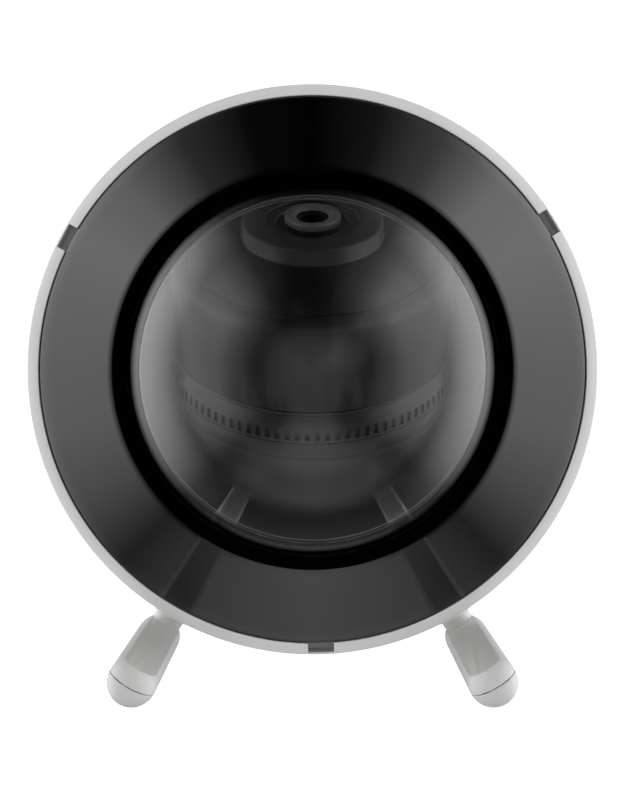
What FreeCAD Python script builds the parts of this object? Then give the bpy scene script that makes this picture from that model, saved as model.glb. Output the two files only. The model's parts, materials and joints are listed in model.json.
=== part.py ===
import FreeCAD, Part
import math
import os
import re

import Sketcher

# Dome security camera, 150 mm across, with two swivelling aerials.
# Lengths are millimetres and angles are degrees.
# The origin is on the dome's axis at the wall side of the mounting plate, and +Z points to the viewer.
# +Y is up and +X is right for somebody who faces the dome.
# The tilting ball is drawn about its own centre with its lens along +Z, then set into the dome.

SIZES = [
    ("RimRadius", 75.0, "housing, outside radius at the front rim"),
    ("RimHeight", 59.0, "front rim above the wall"),
    ("RimWall", 2.7, "wall of the front rim"),
    ("RimRound", 1.0, "radius of the rim's outer edge"),
    ("LedgeDepth", 3.4, "ledge that carries the bezel, below the rim"),
    ("LedgeWidth", 2.9, "ledge, width inside the rim's wall"),
    ("SideInset", 2.4, "housing above the round back edge, inside the rim's radius"),
    ("BackRound", 14.0, "radius of the round back edge"),
    ("HousingWall", 2.6, "side wall of the housing"),
    ("FloorThickness", 2.5, "floor of the housing"),
    ("ToolMargin", 1.0, "length of a cutting tool beyond what it cuts"),
    ("PlateRadius", 50.0, "mounting plate, radius"),
    ("PlateThickness", 2.0, "mounting plate, thickness"),
    ("PlateGap", 0.2, "air between plate and housing"),
    ("WallScrewCircle", 40.0, "radius of the circle of wall screw holes"),
    ("WallScrewHole", 2.25, "radius of a wall screw hole"),
    ("HousingScrewCircle", 44.0, "radius of the circle of housing screws"),
    ("CableEntryOffset", 41.0, "cable entry, distance from the axis"),
    ("CableEntryNeck", 6.0, "grommet, radius in the floor"),
    ("CableBore", 3.5, "grommet, radius of the bore"),
    ("PlateHoleGap", 0.9, "hole in the plate outside the grommet"),
    ("GrommetFlange", 1.0, "grommet, thickness of each flange"),
    ("GrommetLip", 1.6, "grommet, width of each flange beyond its neck"),
    ("NotchWidth", 6.8, "pry notch, width"),
    ("NotchSkin", 0.7, "pry notch, wall left outside it"),
    ("NotchDepth", 6.0, "pry notch, depth below the rim"),
    ("NotchAngle", 31.75, "first pry notch, angle from +X"),
    ("BezelClearance", 0.3, "gap between bezel and rim"),
    ("BezelEdgeDrop", 0.4, "bezel edge below the rim"),
    ("BezelEdge", 2.0, "bezel, height of the outer edge"),
    ("BezelCrestGap", 3.6, "bezel, crest outside the dome"),
    ("BezelCrest", 9.5, "bezel, crest above the rim"),
    ("BezelWall", 2.2, "bezel, wall along Z"),
    ("BezelLipGap", 0.7, "bezel, inside of the lip outside the dome"),
    ("BezelLipWall", 2.0, "bezel, wall of the lip"),
    ("BezelLipTop", 4.9, "bezel, top of the lip above the rim"),
    ("HookWidth", 8.0, "bezel hook, width"),
    ("HookThickness", 1.8, "bezel hook, thickness"),
    ("HookLength", 13.0, "bezel hook, lower end below the rim"),
    ("HookBarb", 1.5, "bezel hook, barb beyond its face"),
    ("HookBarbHeight", 2.0, "bezel hook, height of the barb"),
    ("HookClearance", 0.4, "air round a hook"),
    ("DomeRise", 3.0, "centre of the dome above the rim"),
    ("DomeGap", 0.42, "air between the dome and what sweeps nearest inside it"),
    ("DomeWall", 1.5, "dome, wall"),
    ("DomeFlangeWidth", 5.9, "dome, width of the flange"),
    ("DomeFlangeDrop", 2.5, "dome, flange below the centre"),
    ("DomeFlange", 2.0, "dome, thickness of the flange"),
    ("DomeGasket", 1.3, "dome gasket, thickness"),
    ("GasketStep", 0.2, "housing gasket, outer edge inside the bezel's edge"),
    ("ClampEdge", 0.3, "clamp ring beyond its screw heads"),
    ("ClampRing", 2.4, "clamp ring, thickness"),
    ("ClampBossGap", 0.5, "screw bosses outside the dome's flange"),
    ("ClampGap", 0.1, "air between the dome's flange and the bezel's screw bosses"),
    ("BossRadius", 3.0, "radius of a screw boss or post"),
    ("ScrewRadius", 1.2, "small screw, radius of the shank"),
    ("ScrewHeadRadius", 2.2, "small screw, radius of the head"),
    ("ScrewHead", 1.5, "small screw, height of the head"),
    ("ScrewGrip", 6.0, "small screw, length in its boss"),
    ("ScrewClearance", 0.05, "air round a screw"),
    ("BoltRadius", 1.5, "housing screw, radius of the shank"),
    ("BoltHeadRadius", 2.6, "housing screw, radius of the head"),
    ("BoltHead", 1.6, "housing screw, height of the head"),
    ("LinerGap", 0.3, "liner, inside face outside the dome's inside face"),
    ("LinerWall", 1.6, "liner, wall"),
    ("LinerTopGap", 0.2, "liner, lip below the clamp ring"),
    ("LinerLip", 1.7, "liner, lip above the flange"),
    ("LinerFlangeGap", 4.4, "liner, flange inside the ledge"),
    ("LinerFlange", 1.5, "liner, thickness of the flange"),
    ("LinerHoleGap", 0.4, "liner, hole outside the turntable"),
    ("PostEdge", 0.5, "least width beside a post"),
    ("PostWeb", 1.6, "web between a liner post and the side, thickness"),
    ("PostWebGap", 2.0, "web, top below the bezel's hooks"),
    ("BoardRise", 3.5, "main board above the turntable"),
    ("BoardWidth", 16.0, "main board, width of its ring"),
    ("BoardThickness", 1.6, "every circuit board, thickness"),
    ("LanWidth", 16.0, "network socket, width"),
    ("LanLength", 13.0, "network socket, length"),
    ("LanHeight", 13.4, "network socket, height"),
    ("LanGap", 1.57, "network socket outside the liner"),
    ("LanWall", 2.1, "network socket, wall"),
    ("TerminalPlace", -24.0, "power terminal, left face along X"),
    ("TerminalWidth", 10.0, "power terminal, width"),
    ("TerminalLength", 8.0, "power terminal, length"),
    ("TerminalHeight", 9.0, "power terminal, height"),
    ("TerminalMouth", 3.2, "power terminal, side of a wire mouth"),
    ("TerminalFoot", 1.4, "power terminal, wire mouth above the board"),
    ("TerminalWell", 1.8, "power terminal, radius of a screw well"),
    ("TerminalWellDepth", 2.6, "power terminal, depth of a screw well"),
    ("RadioPlace", 11.0, "radio module, left face along X"),
    ("RadioWidth", 12.0, "radio module, width"),
    ("RadioLength", 8.5, "radio module, length"),
    ("RadioHeight", 2.4, "radio module, height"),
    ("RadioBoard", 0.8, "radio module, its own board and the edge round its shield"),
    ("RadioTail", 2.6, "radio module, length without shield"),
    ("PartsLead", 1.2, "power terminal and radio module, inside the socket's face"),
    ("ChassisRadius", 32.0, "pan base, radius"),
    ("ChassisThickness", 2.0, "pan base, thickness"),
    ("ChassisScrewCircle", 27.0, "radius of the circle of pan base screws"),
    ("SpigotWall", 1.5, "pan base, wall of the spigot"),
    ("BearingDepth", 6.0, "pan bearing, from its bore to its outside"),
    ("BearingWidth", 7.0, "pan bearing, width"),
    ("BearingGap", 0.3, "pan bearing above the pan base"),
    ("BearingRing", 2.1, "pan bearing, thickness of each ring"),
    ("BearingBall", 1.5, "pan bearing, radius of a ball"),
    ("BearingPlay", 0.05, "air round each ball"),
    ("SlipRingRadius", 11.0, "slip ring, radius"),
    ("SlipRingDrop", 5.0, "slip ring below the turntable"),
    ("SlipRingBore", 4.2, "slip ring, radius of the bore"),
    ("SlipRingFloor", 3.0, "slip ring, floor above the housing's floor"),
    ("SlipRotorFlange", 8.0, "slip ring rotor, radius of the flange"),
    ("SlipRotorFlangeHeight", 1.5, "slip ring rotor, thickness of the flange"),
    ("RotorClearance", 0.1, "air between slip ring and rotor"),
    ("TurntableGap", 2.25, "turntable below the ball"),
    ("LinerGearGap", 1.0, "ring gear below the edge of the liner's hole"),
    ("TurntableRadius", 27.0, "turntable, radius"),
    ("TurntableThickness", 2.0, "turntable, thickness"),
    ("TurntableHub", 3.0, "turntable, wall of the hub"),
    ("PanGearTeeth", 80, "ring gear, teeth"),
    ("PanPinionTeeth", 14, "pan pinion, teeth"),
    ("PanModule", 1.0, "pan gears, module"),
    ("PanGearWidth", 3.5, "pan gears, face width"),
    ("GearClearance", 0.15, "added to each centre distance"),
    ("GearBacklash", 0.12, "gear teeth, thickness taken off"),
    ("PanMotorRadius", 12.5, "pan motor, radius"),
    ("PanMotorGap", 1.3, "pan motor below its pinion"),
    ("PanMotorEarReach", 5.0, "pan motor, screws outside the can"),
    ("PanMotorEar", 1.0, "pan motor, thickness of its ears"),
    ("PanMotorBoss", 4.5, "pan motor, radius of the boss round its shaft"),
    ("PanMotorBossGap", 0.4, "pan motor, boss below the pinion"),
    ("PanShaftRadius", 1.5, "pan motor shaft, radius"),
    ("ShaftGap", 0.1, "air behind the end of each motor shaft"),
    ("ShaftBeyond", 0.3, "each shaft beyond the gear on it"),
    ("BallRadius", 36.25, "ball, outside radius"),
    ("BallWall", 2.0, "ball, wall of the rear shell"),
    ("KnurlGap", 0.1, "air above and below the knurled ring"),
    ("KnurlHeight", 4.2, "knurled ring, height"),
    ("KnurlProud", 0.15, "knurled ring, ribs outside the ball"),
    ("KnurlDepth", 0.45, "knurled ring, depth between ribs"),
    ("KnurlRibs", 72, "knurled ring, ribs"),
    ("BarrelInset", 0.25, "barrel at the centre inside the ball's radius"),
    ("BarrelTaper", 1.8, "barrel, loss of radius up to its rim"),
    ("BarrelLength", 27.3, "barrel, from the split to its rim"),
    ("BarrelWall", 1.8, "barrel, wall"),
    ("SeamRise", 2.6, "seam of the barrel above the tilt frame"),
    ("SeamGap", 0.25, "width of the seam"),
    ("FaceInset", 1.7, "front face, edge inside the barrel's rim"),
    ("FaceRise", 2.6, "front face, edge above the barrel's rim"),
    ("LensBossRadius", 17.05, "lens boss, radius at its foot"),
    ("LensBossTaper", 0.15, "lens boss, loss of radius up to its top"),
    ("FaceConeHeight", 6.3, "front face, height of its cone"),
    ("LensBossHeight", 3.7, "lens boss, height"),
    ("LensBossWall", 1.8, "lens boss, wall"),
    ("OuterRecessRadius", 11.3, "lens boss, outer recess radius"),
    ("InnerRecessRadius", 8.95, "lens boss, inner recess radius"),
    ("RecessStep", 0.75, "lens boss, depth of each recess"),
    ("LensRadius", 6.7, "lens, radius of the front"),
    ("LensThreadRadius", 6.0, "lens, radius of the thread"),
    ("LensSeat", 0.6, "lens, step that carries the glass"),
    ("LensBackWall", 3.1, "lens, wall at the back"),
    ("LensRingEdge", 0.3, "lens ring, edge break"),
    ("LensRingGap", 0.02, "lens ring above its seat"),
    ("GlassPlay", 0.2, "air round the glass"),
    ("GlassGap", 0.15, "lens ring above the edge of the glass"),
    ("LensProud", 1.3, "lens front above the lens boss"),
    ("LensLength", 19.4, "lens, length"),
    ("LensHeadLength", 6.6, "lens, length of its wider front"),
    ("LensRingHeight", 1.4, "lens ring, height"),
    ("LensGlassRadius", 4.3, "lens glass, radius"),
    ("GlassEdgeDepth", 1.2, "lens glass, edge below the lens front"),
    ("LensGlassRise", 1.0, "lens glass, rise of the front"),
    ("LensGlassDepth", 2.4, "lens glass, thickness at the edge"),
    ("LensClearance", 0.05, "air round the lens"),
    ("HolderRadius", 8.4, "lens holder, radius"),
    ("HolderRoom", 7.6, "lens holder, radius of the room over the sensor"),
    ("HolderFoot", 11.0, "lens holder, radius of the foot"),
    ("HolderFootHeight", 2.0, "lens holder, height of the foot"),
    ("HolderGap", 2.6, "lens holder below the lens's shoulder"),
    ("LensFocus", 7.4, "lens back above the sensor board"),
    ("SensorBoardSide", 32.0, "sensor board, side"),
    ("SensorWidth", 8.4, "image sensor, width"),
    ("SensorHeight", 1.2, "image sensor, height"),
    ("SensorPostInset", 3.0, "sensor posts inside the edge of the board"),
    ("SensorPostRadius", 2.4, "sensor posts, radius"),
    ("SideCoverOffset", 8.3, "side cover, middle along X"),
    ("SideCoverWidth", 7.2, "side cover, width"),
    ("SideCoverReach", 11.7, "side cover, rounded end inside the face's edge"),
    ("SideCoverLength", 6.4, "side cover, lower end below the barrel's rim"),
    ("SideCoverGap", 0.12, "gap round the side cover"),
    ("FrameGap", 0.25, "tilt frame inside the ball's wall"),
    ("FrameWall", 1.2, "tilt frame, wall"),
    ("FrameBelow", 3.5, "tilt frame below the centre"),
    ("FrameAbove", 7.8, "tilt frame above the centre"),
    ("TrunnionRadius", 2.0, "trunnion pin, radius"),
    ("TrunnionPlay", 0.05, "air between pin and bush"),
    ("BushWall", 1.15, "trunnion bush, wall"),
    ("PinShort", 0.1, "trunnion pin, end inside the frame's outer face"),
    ("PinBeyond", 0.5, "trunnion pin, end beyond the yoke"),
    ("YokeGap", 0.3, "air between the yoke and the tilt frame"),
    ("YokeWidth", 5.5, "yoke, width along the radius"),
    ("YokeThickness", 6.0, "yoke, thickness"),
    ("YokeAbove", 5.0, "yoke arms above the tilt axis, and the radius of their eyes"),
    ("EyeStep", 0.4, "outer face of each eye inside the yoke's radius"),
    ("StemWidth", 14.0, "yoke stem, width"),
    ("StemThickness", 7.6, "yoke stem, thickness"),
    ("StemClearance", 1.5, "air round the stem in its slot"),
    ("YokeFlangeRadius", 14.0, "yoke, radius of the flange"),
    ("YokeFlange", 1.5, "yoke, thickness of the flange"),
    ("YokeScrewCircle", 11.0, "radius of the circle of yoke screws"),
    ("TiltRest", 58.0, "lens away from the dome's axis at rest"),
    ("TiltMost", 75.0, "lens away from the dome's axis at most"),
    ("TiltGearTeeth", 30, "tilt gear, teeth"),
    ("TiltPinionTeeth", 12, "tilt pinion, teeth"),
    ("TiltModule", 0.6, "tilt gears, module"),
    ("TiltGearWidth", 3.0, "tilt gears, face width"),
    ("TiltGearInset", 11.0, "tilt gears, inner face inside the yoke's opening"),
    ("TiltMotorRadius", 6.0, "tilt motor, radius"),
    ("TiltMotorLength", 11.4, "tilt motor, length"),
    ("TiltShaftRadius", 1.0, "tilt motor shaft, radius"),
    ("BracketThickness", 1.2, "motor bracket on the yoke, thickness"),
    ("BracketGap", 0.5, "air between the motor bracket and the tilt gears"),
    ("AerialAngle", 30.0, "each aerial, angle from -Y"),
    ("NeckLength", 2.6, "aerial neck, length"),
    ("AerialDrop", 7.0, "aerial pivot below the rim"),
    ("AerialRadius", 5.74, "aerial, radius"),
    ("AerialLength", 47.0, "aerial, between the centres of its round ends"),
    ("AerialFlat", 4.1, "aerial, flat on the inner face from its axis"),
    ("AerialWall", 1.3, "aerial, wall"),
    ("AerialSeam", 0.12, "aerial, gap between its two shells"),
    ("ElementWidth", 5.0, "aerial element, width"),
    ("ElementThickness", 1.0, "aerial element, thickness"),
    ("ElementGap", 0.3, "aerial element above the pivot's socket"),
    ("ElementTop", 1.5, "aerial element below the top of the hollow"),
    ("NeckRadius", 3.95, "aerial neck, radius"),
    ("PivotRadius", 2.4, "aerial pivot, radius in the housing"),
    ("PivotClearance", 0.05, "air round the pivot"),
    ("PivotRootRadius", 3.0, "aerial pivot, radius in the aerial"),
    ("PivotRootLength", 3.2, "aerial pivot, length in the aerial"),
    ("PivotEnd", 0.6, "aerial pivot beyond its clip"),
    ("PivotBossRadius", 5.4, "housing boss, radius"),
    ("PivotBossProud", 0.6, "housing boss, outer face outside the rim's radius"),
    ("PivotBossDepth", 7.0, "housing boss, inner face inside the rim's radius"),
    ("ClipGap", 0.1, "air at each face of the pivot"),
    ("ClipThickness", 0.8, "pivot clip, thickness"),
    ("ClipRadius", 4.6, "pivot clip, radius"),
    ("ClipGroove", 0.5, "pivot clip, depth of its groove"),
    ("ClipMouth", 1.7, "pivot clip, half the width of its mouth"),
]

NOTCHES = 3
WALL_SCREWS = 4
HOUSING_SCREWS = 3
CLAMP_SCREWS = 6
LINER_POSTS = 3
BOARD_POSTS = 4
CHASSIS_SCREWS = 4
YOKE_SCREWS = 4
BEARING_BALLS = 10
FIRST_WALL_SCREW = 45.0
FIRST_LINER_POST = 30.0
FIRST_BOARD_POST = 45.0
FIRST_CHASSIS_SCREW = 45.0

# Corners of the sensor board: right or left, and up or down
CORNERS = ((-1, -1), (1, -1), (1, 1), (-1, 1))

# Gear teeth: pressure angle in degrees, depth of the root and of its step in modules
PRESSURE_ANGLE = 20.0
ROOT_DEPTH = 1.25
ROOT_STEP = 0.1

# Ribs of the knurled ring: half width of the foot and of the tip, in quarters of half a pitch
RIB_FOOT = 1.4
RIB_TIP = 0.8

X_AXIS = FreeCAD.Vector(1, 0, 0)
Y_AXIS = FreeCAD.Vector(0, 1, 0)
Z_AXIS = FreeCAD.Vector(0, 0, 1)

DOC = FreeCAD.newDocument("DomeCamera")
SHEET = DOC.addObject("Spreadsheet::Sheet", "Sizes")
for row, (alias, value, meaning) in enumerate(SIZES, start=1):
    SHEET.set(f"A{row}", meaning)
    SHEET.set(f"B{row}", str(value))
    SHEET.setAlias(f"B{row}", alias)
DOC.recompute()

# Sizes and places that follow from the driving sizes, so that pieces that fit together stay together
FOLLOWING = {
    "BarrelBase": "BallRadius - BarrelInset",
    "BarrelRim": "BarrelBase - BarrelTaper",
    "BallSplit": "KnurlHeight / 2 + KnurlGap",
    "KnurlRadius": "BallRadius + KnurlProud",
    "BarrelRimLevel": "BallSplit + BarrelLength",
    "SeamLevel": "FrameAbove + SeamRise",
    "FaceRadius": "BarrelRim - FaceInset",
    "FaceLevel": "BarrelRimLevel + FaceRise",
    "LensBossFoot": "FaceLevel + FaceConeHeight",
    "LensBossTop": "LensBossFoot + LensBossHeight",
    "LensBossTopRadius": "LensBossRadius - LensBossTaper",
    "LensTop": "LensBossTop + LensProud",
    "LensBack": "LensTop - LensLength",
    "LensShoulder": "LensTop - LensHeadLength",
    "LensGlassEdge": "LensTop - GlassEdgeDepth",
    "HolderTop": "LensShoulder - HolderGap",
    "SensorLevel": "LensBack - LensFocus",
    "SensorPost": "SensorBoardSide / 2 - SensorPostInset",
    "SideCoverInner": "FaceRadius - SideCoverReach",
    "SideCoverLevel": "BarrelRimLevel - SideCoverLength",
    "FrameRadius": "BallRadius - BallWall - FrameGap",
    "YokeRadius": "FrameRadius - FrameWall - YokeGap",
    "TiltGearPlace": "YokeRadius - YokeWidth - TiltGearInset",
    "BracketPlace": "TiltGearPlace - BracketGap - BracketThickness",
    "FaceReach": "sqrt(pow(FaceRadius; 2) + pow(FaceLevel; 2))",
    "LensReach": "sqrt(pow(LensRadius; 2) + pow(LensTop; 2))",
    "BossReach": "sqrt(pow(LensBossTopRadius; 2) + pow(LensBossTop; 2))",
    "DomeInside": "max(max(FaceReach; BossReach); LensReach) + DomeGap",
    "DomeRadius": "DomeInside + DomeWall",
    "DomeFlangeRadius": "DomeRadius + DomeFlangeWidth",
    "BezelInnerRadius": "DomeRadius + BezelCrestGap",
    "BezelLipRadius": "DomeRadius + BezelLipGap",
    "ClampScrewCircle": "DomeFlangeRadius + ClampBossGap + BossRadius",
    "ClampRingRadius": "ClampScrewCircle + ScrewHeadRadius + ClampEdge",
    "ClampRingBore": "LinerRadius",
    "LinerRadius": "DomeInside + LinerGap",
    "LinerTop": "DomeFlangeDrop + DomeFlange + ClampRing + LinerTopGap",
    "LinerFlangeTop": "LinerTop + LinerLip",
    "LinerHole": "TurntableRadius + LinerHoleGap",
    "LedgeRadius": "RimRadius - RimWall - LedgeWidth",
    "SideRadius": "RimRadius - SideInset",
    "LinerFlangeRadius": "LedgeRadius - LinerFlangeGap",
    "LinerPostCircle": "LinerFlangeRadius - PostEdge - BossRadius",
    "BoardOuterRadius": "LinerPostCircle - BossRadius - PostEdge",
    "BoardInnerRadius": "BoardOuterRadius - BoardWidth",
    "BoardPostCircle": "BoardOuterRadius - BoardWidth / 2",
    "LinerDepth": "sqrt(pow(LinerRadius + LinerWall; 2) - pow(LinerHole; 2))",
    "LinerClear": "LinerDepth + LinerGearGap - TurntableThickness",
    "TurntableDrop": "max(BallRadius + TurntableGap; LinerClear)",
    "TurntableTop": "RimHeight + DomeRise - TurntableDrop",
    "TurntableBottom": "TurntableTop - TurntableThickness",
    "BoardHeight": "TurntableTop + BoardRise",
    "LanTop": "BoardHeight + BoardThickness + LanHeight",
    "LanBelow": "RimHeight + DomeRise - LanTop",
    "LanOffset": "sqrt(pow(LinerRadius + LinerWall; 2) - pow(LanBelow; 2)) + LanGap",
    "PartsOffset": "LanOffset - PartsLead",
    "CableEntryPlateHole": "CableEntryNeck + GrommetLip + PlateHoleGap",
    "ChassisTop": "PlateThickness + PlateGap + FloorThickness + ChassisThickness",
    "BearingBase": "ChassisTop + BearingGap",
    "BearingBore": "SlipRingRadius + SpigotWall",
    "BearingRadius": "BearingBore + BearingDepth",
    "SlipRingTop": "TurntableBottom - SlipRingDrop",
    "PanMotorLength": "TurntableBottom - PanGearWidth - PanMotorGap - ChassisTop",
    "PanMotorEars": "PanMotorRadius + PanMotorEarReach",
    "PivotBossOuter": "RimRadius + PivotBossProud",
    "PivotBossInner": "RimRadius - PivotBossDepth",
    "AerialOffset": "PivotBossOuter + ClipGap + NeckLength + AerialFlat",
}

# Expressions that many pieces share
FLOOR_BASE = "(PlateThickness + PlateGap)"
FLOOR_TOP = f"({FLOOR_BASE} + FloorThickness)"
LEDGE = "(RimHeight - LedgeDepth)"
INNER_ROUND = "(BackRound - HousingWall)"
FLOOR_REACH = f"sqrt(pow({INNER_ROUND}; 2) - pow(BackRound - {FLOOR_TOP}; 2))"
CENTRE = "(RimHeight + DomeRise)"
BEZEL_RADIUS = "(RimRadius - RimWall - BezelClearance)"
BEZEL_TOP = "(RimHeight - BezelEdgeDrop)"
BEZEL_BOTTOM = "(RimHeight - BezelEdgeDrop - BezelEdge)"
BEZEL_SLOPE = f"((BezelCrest + BezelEdgeDrop) / ({BEZEL_RADIUS} - BezelInnerRadius))"
LIP_BOTTOM = f"({CENTRE} - DomeFlangeDrop + DomeGasket)"
FLANGE_BOTTOM = f"({CENTRE} - DomeFlangeDrop - DomeFlange)"
CLAMP_BOTTOM = f"({FLANGE_BOTTOM} - ClampRing)"
LINER_FLANGE_BOTTOM = f"({CENTRE} - LinerFlangeTop - LinerFlange)"
TURNTABLE_TOP = "TurntableTop"
TURNTABLE_BOTTOM = "TurntableBottom"
BEARING_TOP = "(BearingBase + BearingWidth)"
GEAR_BASE = f"({TURNTABLE_BOTTOM} - PanGearWidth)"
PAN_DISTANCE = "((PanGearTeeth + PanPinionTeeth) * PanModule / 2 + GearClearance)"
TILT_DISTANCE = "((TiltGearTeeth + TiltPinionTeeth) * TiltModule / 2 + GearClearance)"
PIVOT_HEIGHT = "(RimHeight - AerialDrop)"
CHASSIS_TOP = "ChassisTop"
NECK_START = "(PivotBossOuter + ClipGap)"
NECK_END = "(AerialOffset - AerialFlat)"
CLIP_START = "(PivotBossInner - ClipGap - ClipThickness)"


def tied(text):
    """An expression on the sheet: what follows is written out, and sizes get the sheet's name."""
    def written_out(match):
        name = match.group(1)
        if name in FOLLOWING:
            return f"({tied(FOLLOWING[name])})"
        return f"Sizes.{name}"

    return re.sub(r"\b([A-Z][A-Za-z]+)", written_out, text)


def size(text):
    """The number that an expression of size names gives now."""
    return float(SHEET.evalExpression(tied(text)))


def bind(part, bindings):
    """Tie properties of an object to size names."""
    for property_name, text in bindings.items():
        part.setExpression(property_name, tied(text))
    return part


def barrel_radius(level):
    """Outside radius of the tapered barrel at a height above the ball's centre."""
    return f"(BarrelBase - (BarrelBase - BarrelRim) * {level} / BarrelRimLevel)"


def on_circle(radius, away):
    """Half chord of a circle at a distance from its middle."""
    return f"sqrt(pow({radius}; 2) - pow({away}; 2))"


def draw_outline(sketch, outline):
    """Draw a closed outline whose corners are tied to size names.

    Each corner is (x, y), or (x, y, radius, side) where an arc leads on to the next corner.
    side is 1 for an arc whose centre lies left of the way to the next corner, and -1 for right.
    """
    corners = [FreeCAD.Vector(size(corner[0]), size(corner[1]), 0) for corner in outline]
    count = len(outline)
    for index, corner in enumerate(outline):
        start = corners[index]
        end = corners[(index + 1) % count]
        if len(corner) == 2:
            sketch.addGeometry(Part.LineSegment(start, end), False)
            continue
        chord = end - start
        left = FreeCAD.Vector(-chord.y, chord.x, 0).normalize()
        radius = size(corner[2])
        reach = math.sqrt(max(radius ** 2 - (chord.Length / 2) ** 2, 0))
        centre = (start + end) * 0.5 + left * reach * corner[3]
        crest = centre - left * radius * corner[3]
        sketch.addGeometry(Part.Arc(start, crest, end), False)
    first_point = []
    for index, corner in enumerate(outline):
        # A clockwise arc is stored the other way round, so its first corner is its end point.
        turned_round = len(corner) == 4 and corner[3] < 0
        first_point.append(2 if turned_round else 1)
    for index in range(count):
        following = (index + 1) % count
        last = 3 - first_point[index]
        sketch.addConstraint(
            Sketcher.Constraint("Coincident", index, last, following, first_point[following]))
    for index, corner in enumerate(outline):
        point = first_point[index]
        for kind, axis, text, number in (("DistanceX", -2, corner[0], corners[index].x),
                                         ("DistanceY", -1, corner[1], corners[index].y)):
            if text == "0":
                sketch.addConstraint(Sketcher.Constraint("PointOnObject", index, point, axis))
                continue
            place = sketch.addConstraint(Sketcher.Constraint(kind, -1, 1, index, point, number))
            sketch.setExpression(f"Constraints[{place}]", tied(text))
        if len(corner) == 4:
            bend = sketch.addConstraint(Sketcher.Constraint("Radius", index, size(corner[2])))
            sketch.setExpression(f"Constraints[{bend}]", tied(corner[2]))


def new_sketch(body, name, role):
    """A sketch on one of a body's own origin planes."""
    sketch = body.newObject("Sketcher::SketchObject", name)
    plane = [feature for feature in body.Origin.OriginFeatures if feature.Role == role][0]
    sketch.AttachmentSupport = [(plane, "")]
    sketch.MapMode = "FlatFace"
    return sketch


def turned(name, outline):
    """A body turned about Z from an outline of (radius, height)."""
    body = DOC.addObject("PartDesign::Body", name)
    sketch = new_sketch(body, f"{name}_outline", "XZ_Plane")
    draw_outline(sketch, outline)
    revolution = body.newObject("PartDesign::Revolution", f"{name}_turned")
    revolution.Profile = sketch
    revolution.ReferenceAxis = (sketch, ["V_Axis"])
    revolution.Angle = 360
    return body


def tube(name, outside, inside, base, height):
    """A plain ring turned about Z."""
    top = f"({base} + {height})"
    return turned(name, [(inside, base), (outside, base), (outside, top), (inside, top)])


def rod(name, radius, height, x="0", y="0", z="0"):
    """A cylinder along Z."""
    cylinder = DOC.addObject("Part::Cylinder", name)
    return bind(cylinder, {"Radius": radius, "Height": height, "Placement.Base.x": x,
                           "Placement.Base.y": y, "Placement.Base.z": z})


def cross_rod(name, radius, start, end, y="0", z="0"):
    """A cylinder along X between two places."""
    cylinder = DOC.addObject("Part::Cylinder", name)
    cylinder.Placement = FreeCAD.Placement(FreeCAD.Vector(), FreeCAD.Rotation(Y_AXIS, 90))
    return bind(cylinder, {"Radius": radius, "Height": f"({end}) - ({start})",
                           "Placement.Base.x": start, "Placement.Base.y": y,
                           "Placement.Base.z": z})


def block(name, low, high):
    """A box between two corners, each given as three expressions."""
    cube = DOC.addObject("Part::Box", name)
    for side, axis, bottom, top in zip(("Length", "Width", "Height"), "xyz", low, high):
        bind(cube, {side: f"({top}) - ({bottom})", f"Placement.Base.{axis}": bottom})
    return cube


def joined(name, pieces):
    """One solid from pieces that meet."""
    fusion = DOC.addObject("Part::MultiFuse", name)
    fusion.Shapes = pieces
    fusion.Refine = True
    return fusion


def group(name, pieces):
    """Separate solids that share one node."""
    compound = DOC.addObject("Part::Compound", name)
    compound.Links = pieces
    return compound


def cut(name, base, tool):
    """The base with the tool taken away."""
    remainder = DOC.addObject("Part::Cut", name)
    remainder.Base = base
    remainder.Tool = tool
    remainder.Refine = True
    return remainder


def shared(name, first, second):
    """What two solids have in common."""
    overlap = DOC.addObject("Part::MultiCommon", name)
    overlap.Shapes = [first, second]
    return overlap


def angles(count, first=0.0):
    """Evenly spaced angles round a circle."""
    return [first + 360.0 * number / count for number in range(count)]


def ring_of_rods(name, radius, height, circle, z, count, first=0.0):
    """Equal cylinders round the dome's axis."""
    rods = []
    for number, angle in enumerate(angles(count, first), start=1):
        rods.append(rod(f"{name}_{number}", radius, height,
                        x=f"{circle} * cos({angle})", y=f"{circle} * sin({angle})", z=z))
    return rods


def ring_of_blocks(name, low, high, first):
    """Equal boxes drawn at +X and turned to each notch."""
    blocks = []
    for number in range(NOTCHES):
        piece = block(f"{name}_{number + 1}_drawn", low, high)
        holder = DOC.addObject("Part::Compound", f"{name}_{number + 1}")
        holder.Links = [piece]
        holder.Placement = FreeCAD.Placement(FreeCAD.Vector(), FreeCAD.Rotation(Z_AXIS, 1))
        bind(holder, {"Placement.Rotation.Angle": f"{first} + {360.0 * number / NOTCHES}"})
        blocks.append(holder)
    return blocks


def screws(name, circle, seat, count, first=0.0, downward=True, length=None):
    """Screws round the axis, with their heads on a seat."""
    grip = length or "ScrewGrip"
    pieces = []
    head_base = seat if downward else f"({seat} - ScrewHead)"
    shank_base = f"({seat} - {grip})" if downward else seat
    for number, angle in enumerate(angles(count, first), start=1):
        x = f"{circle} * cos({angle})"
        y = f"{circle} * sin({angle})"
        head = rod(f"{name}_head_{number}", "ScrewHeadRadius", "ScrewHead", x, y, head_base)
        shank = rod(f"{name}_shank_{number}", "ScrewRadius", grip, x, y, shank_base)
        pieces.append(joined(f"{name}_{number}", [head, shank]))
    return group(name, pieces)


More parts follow.
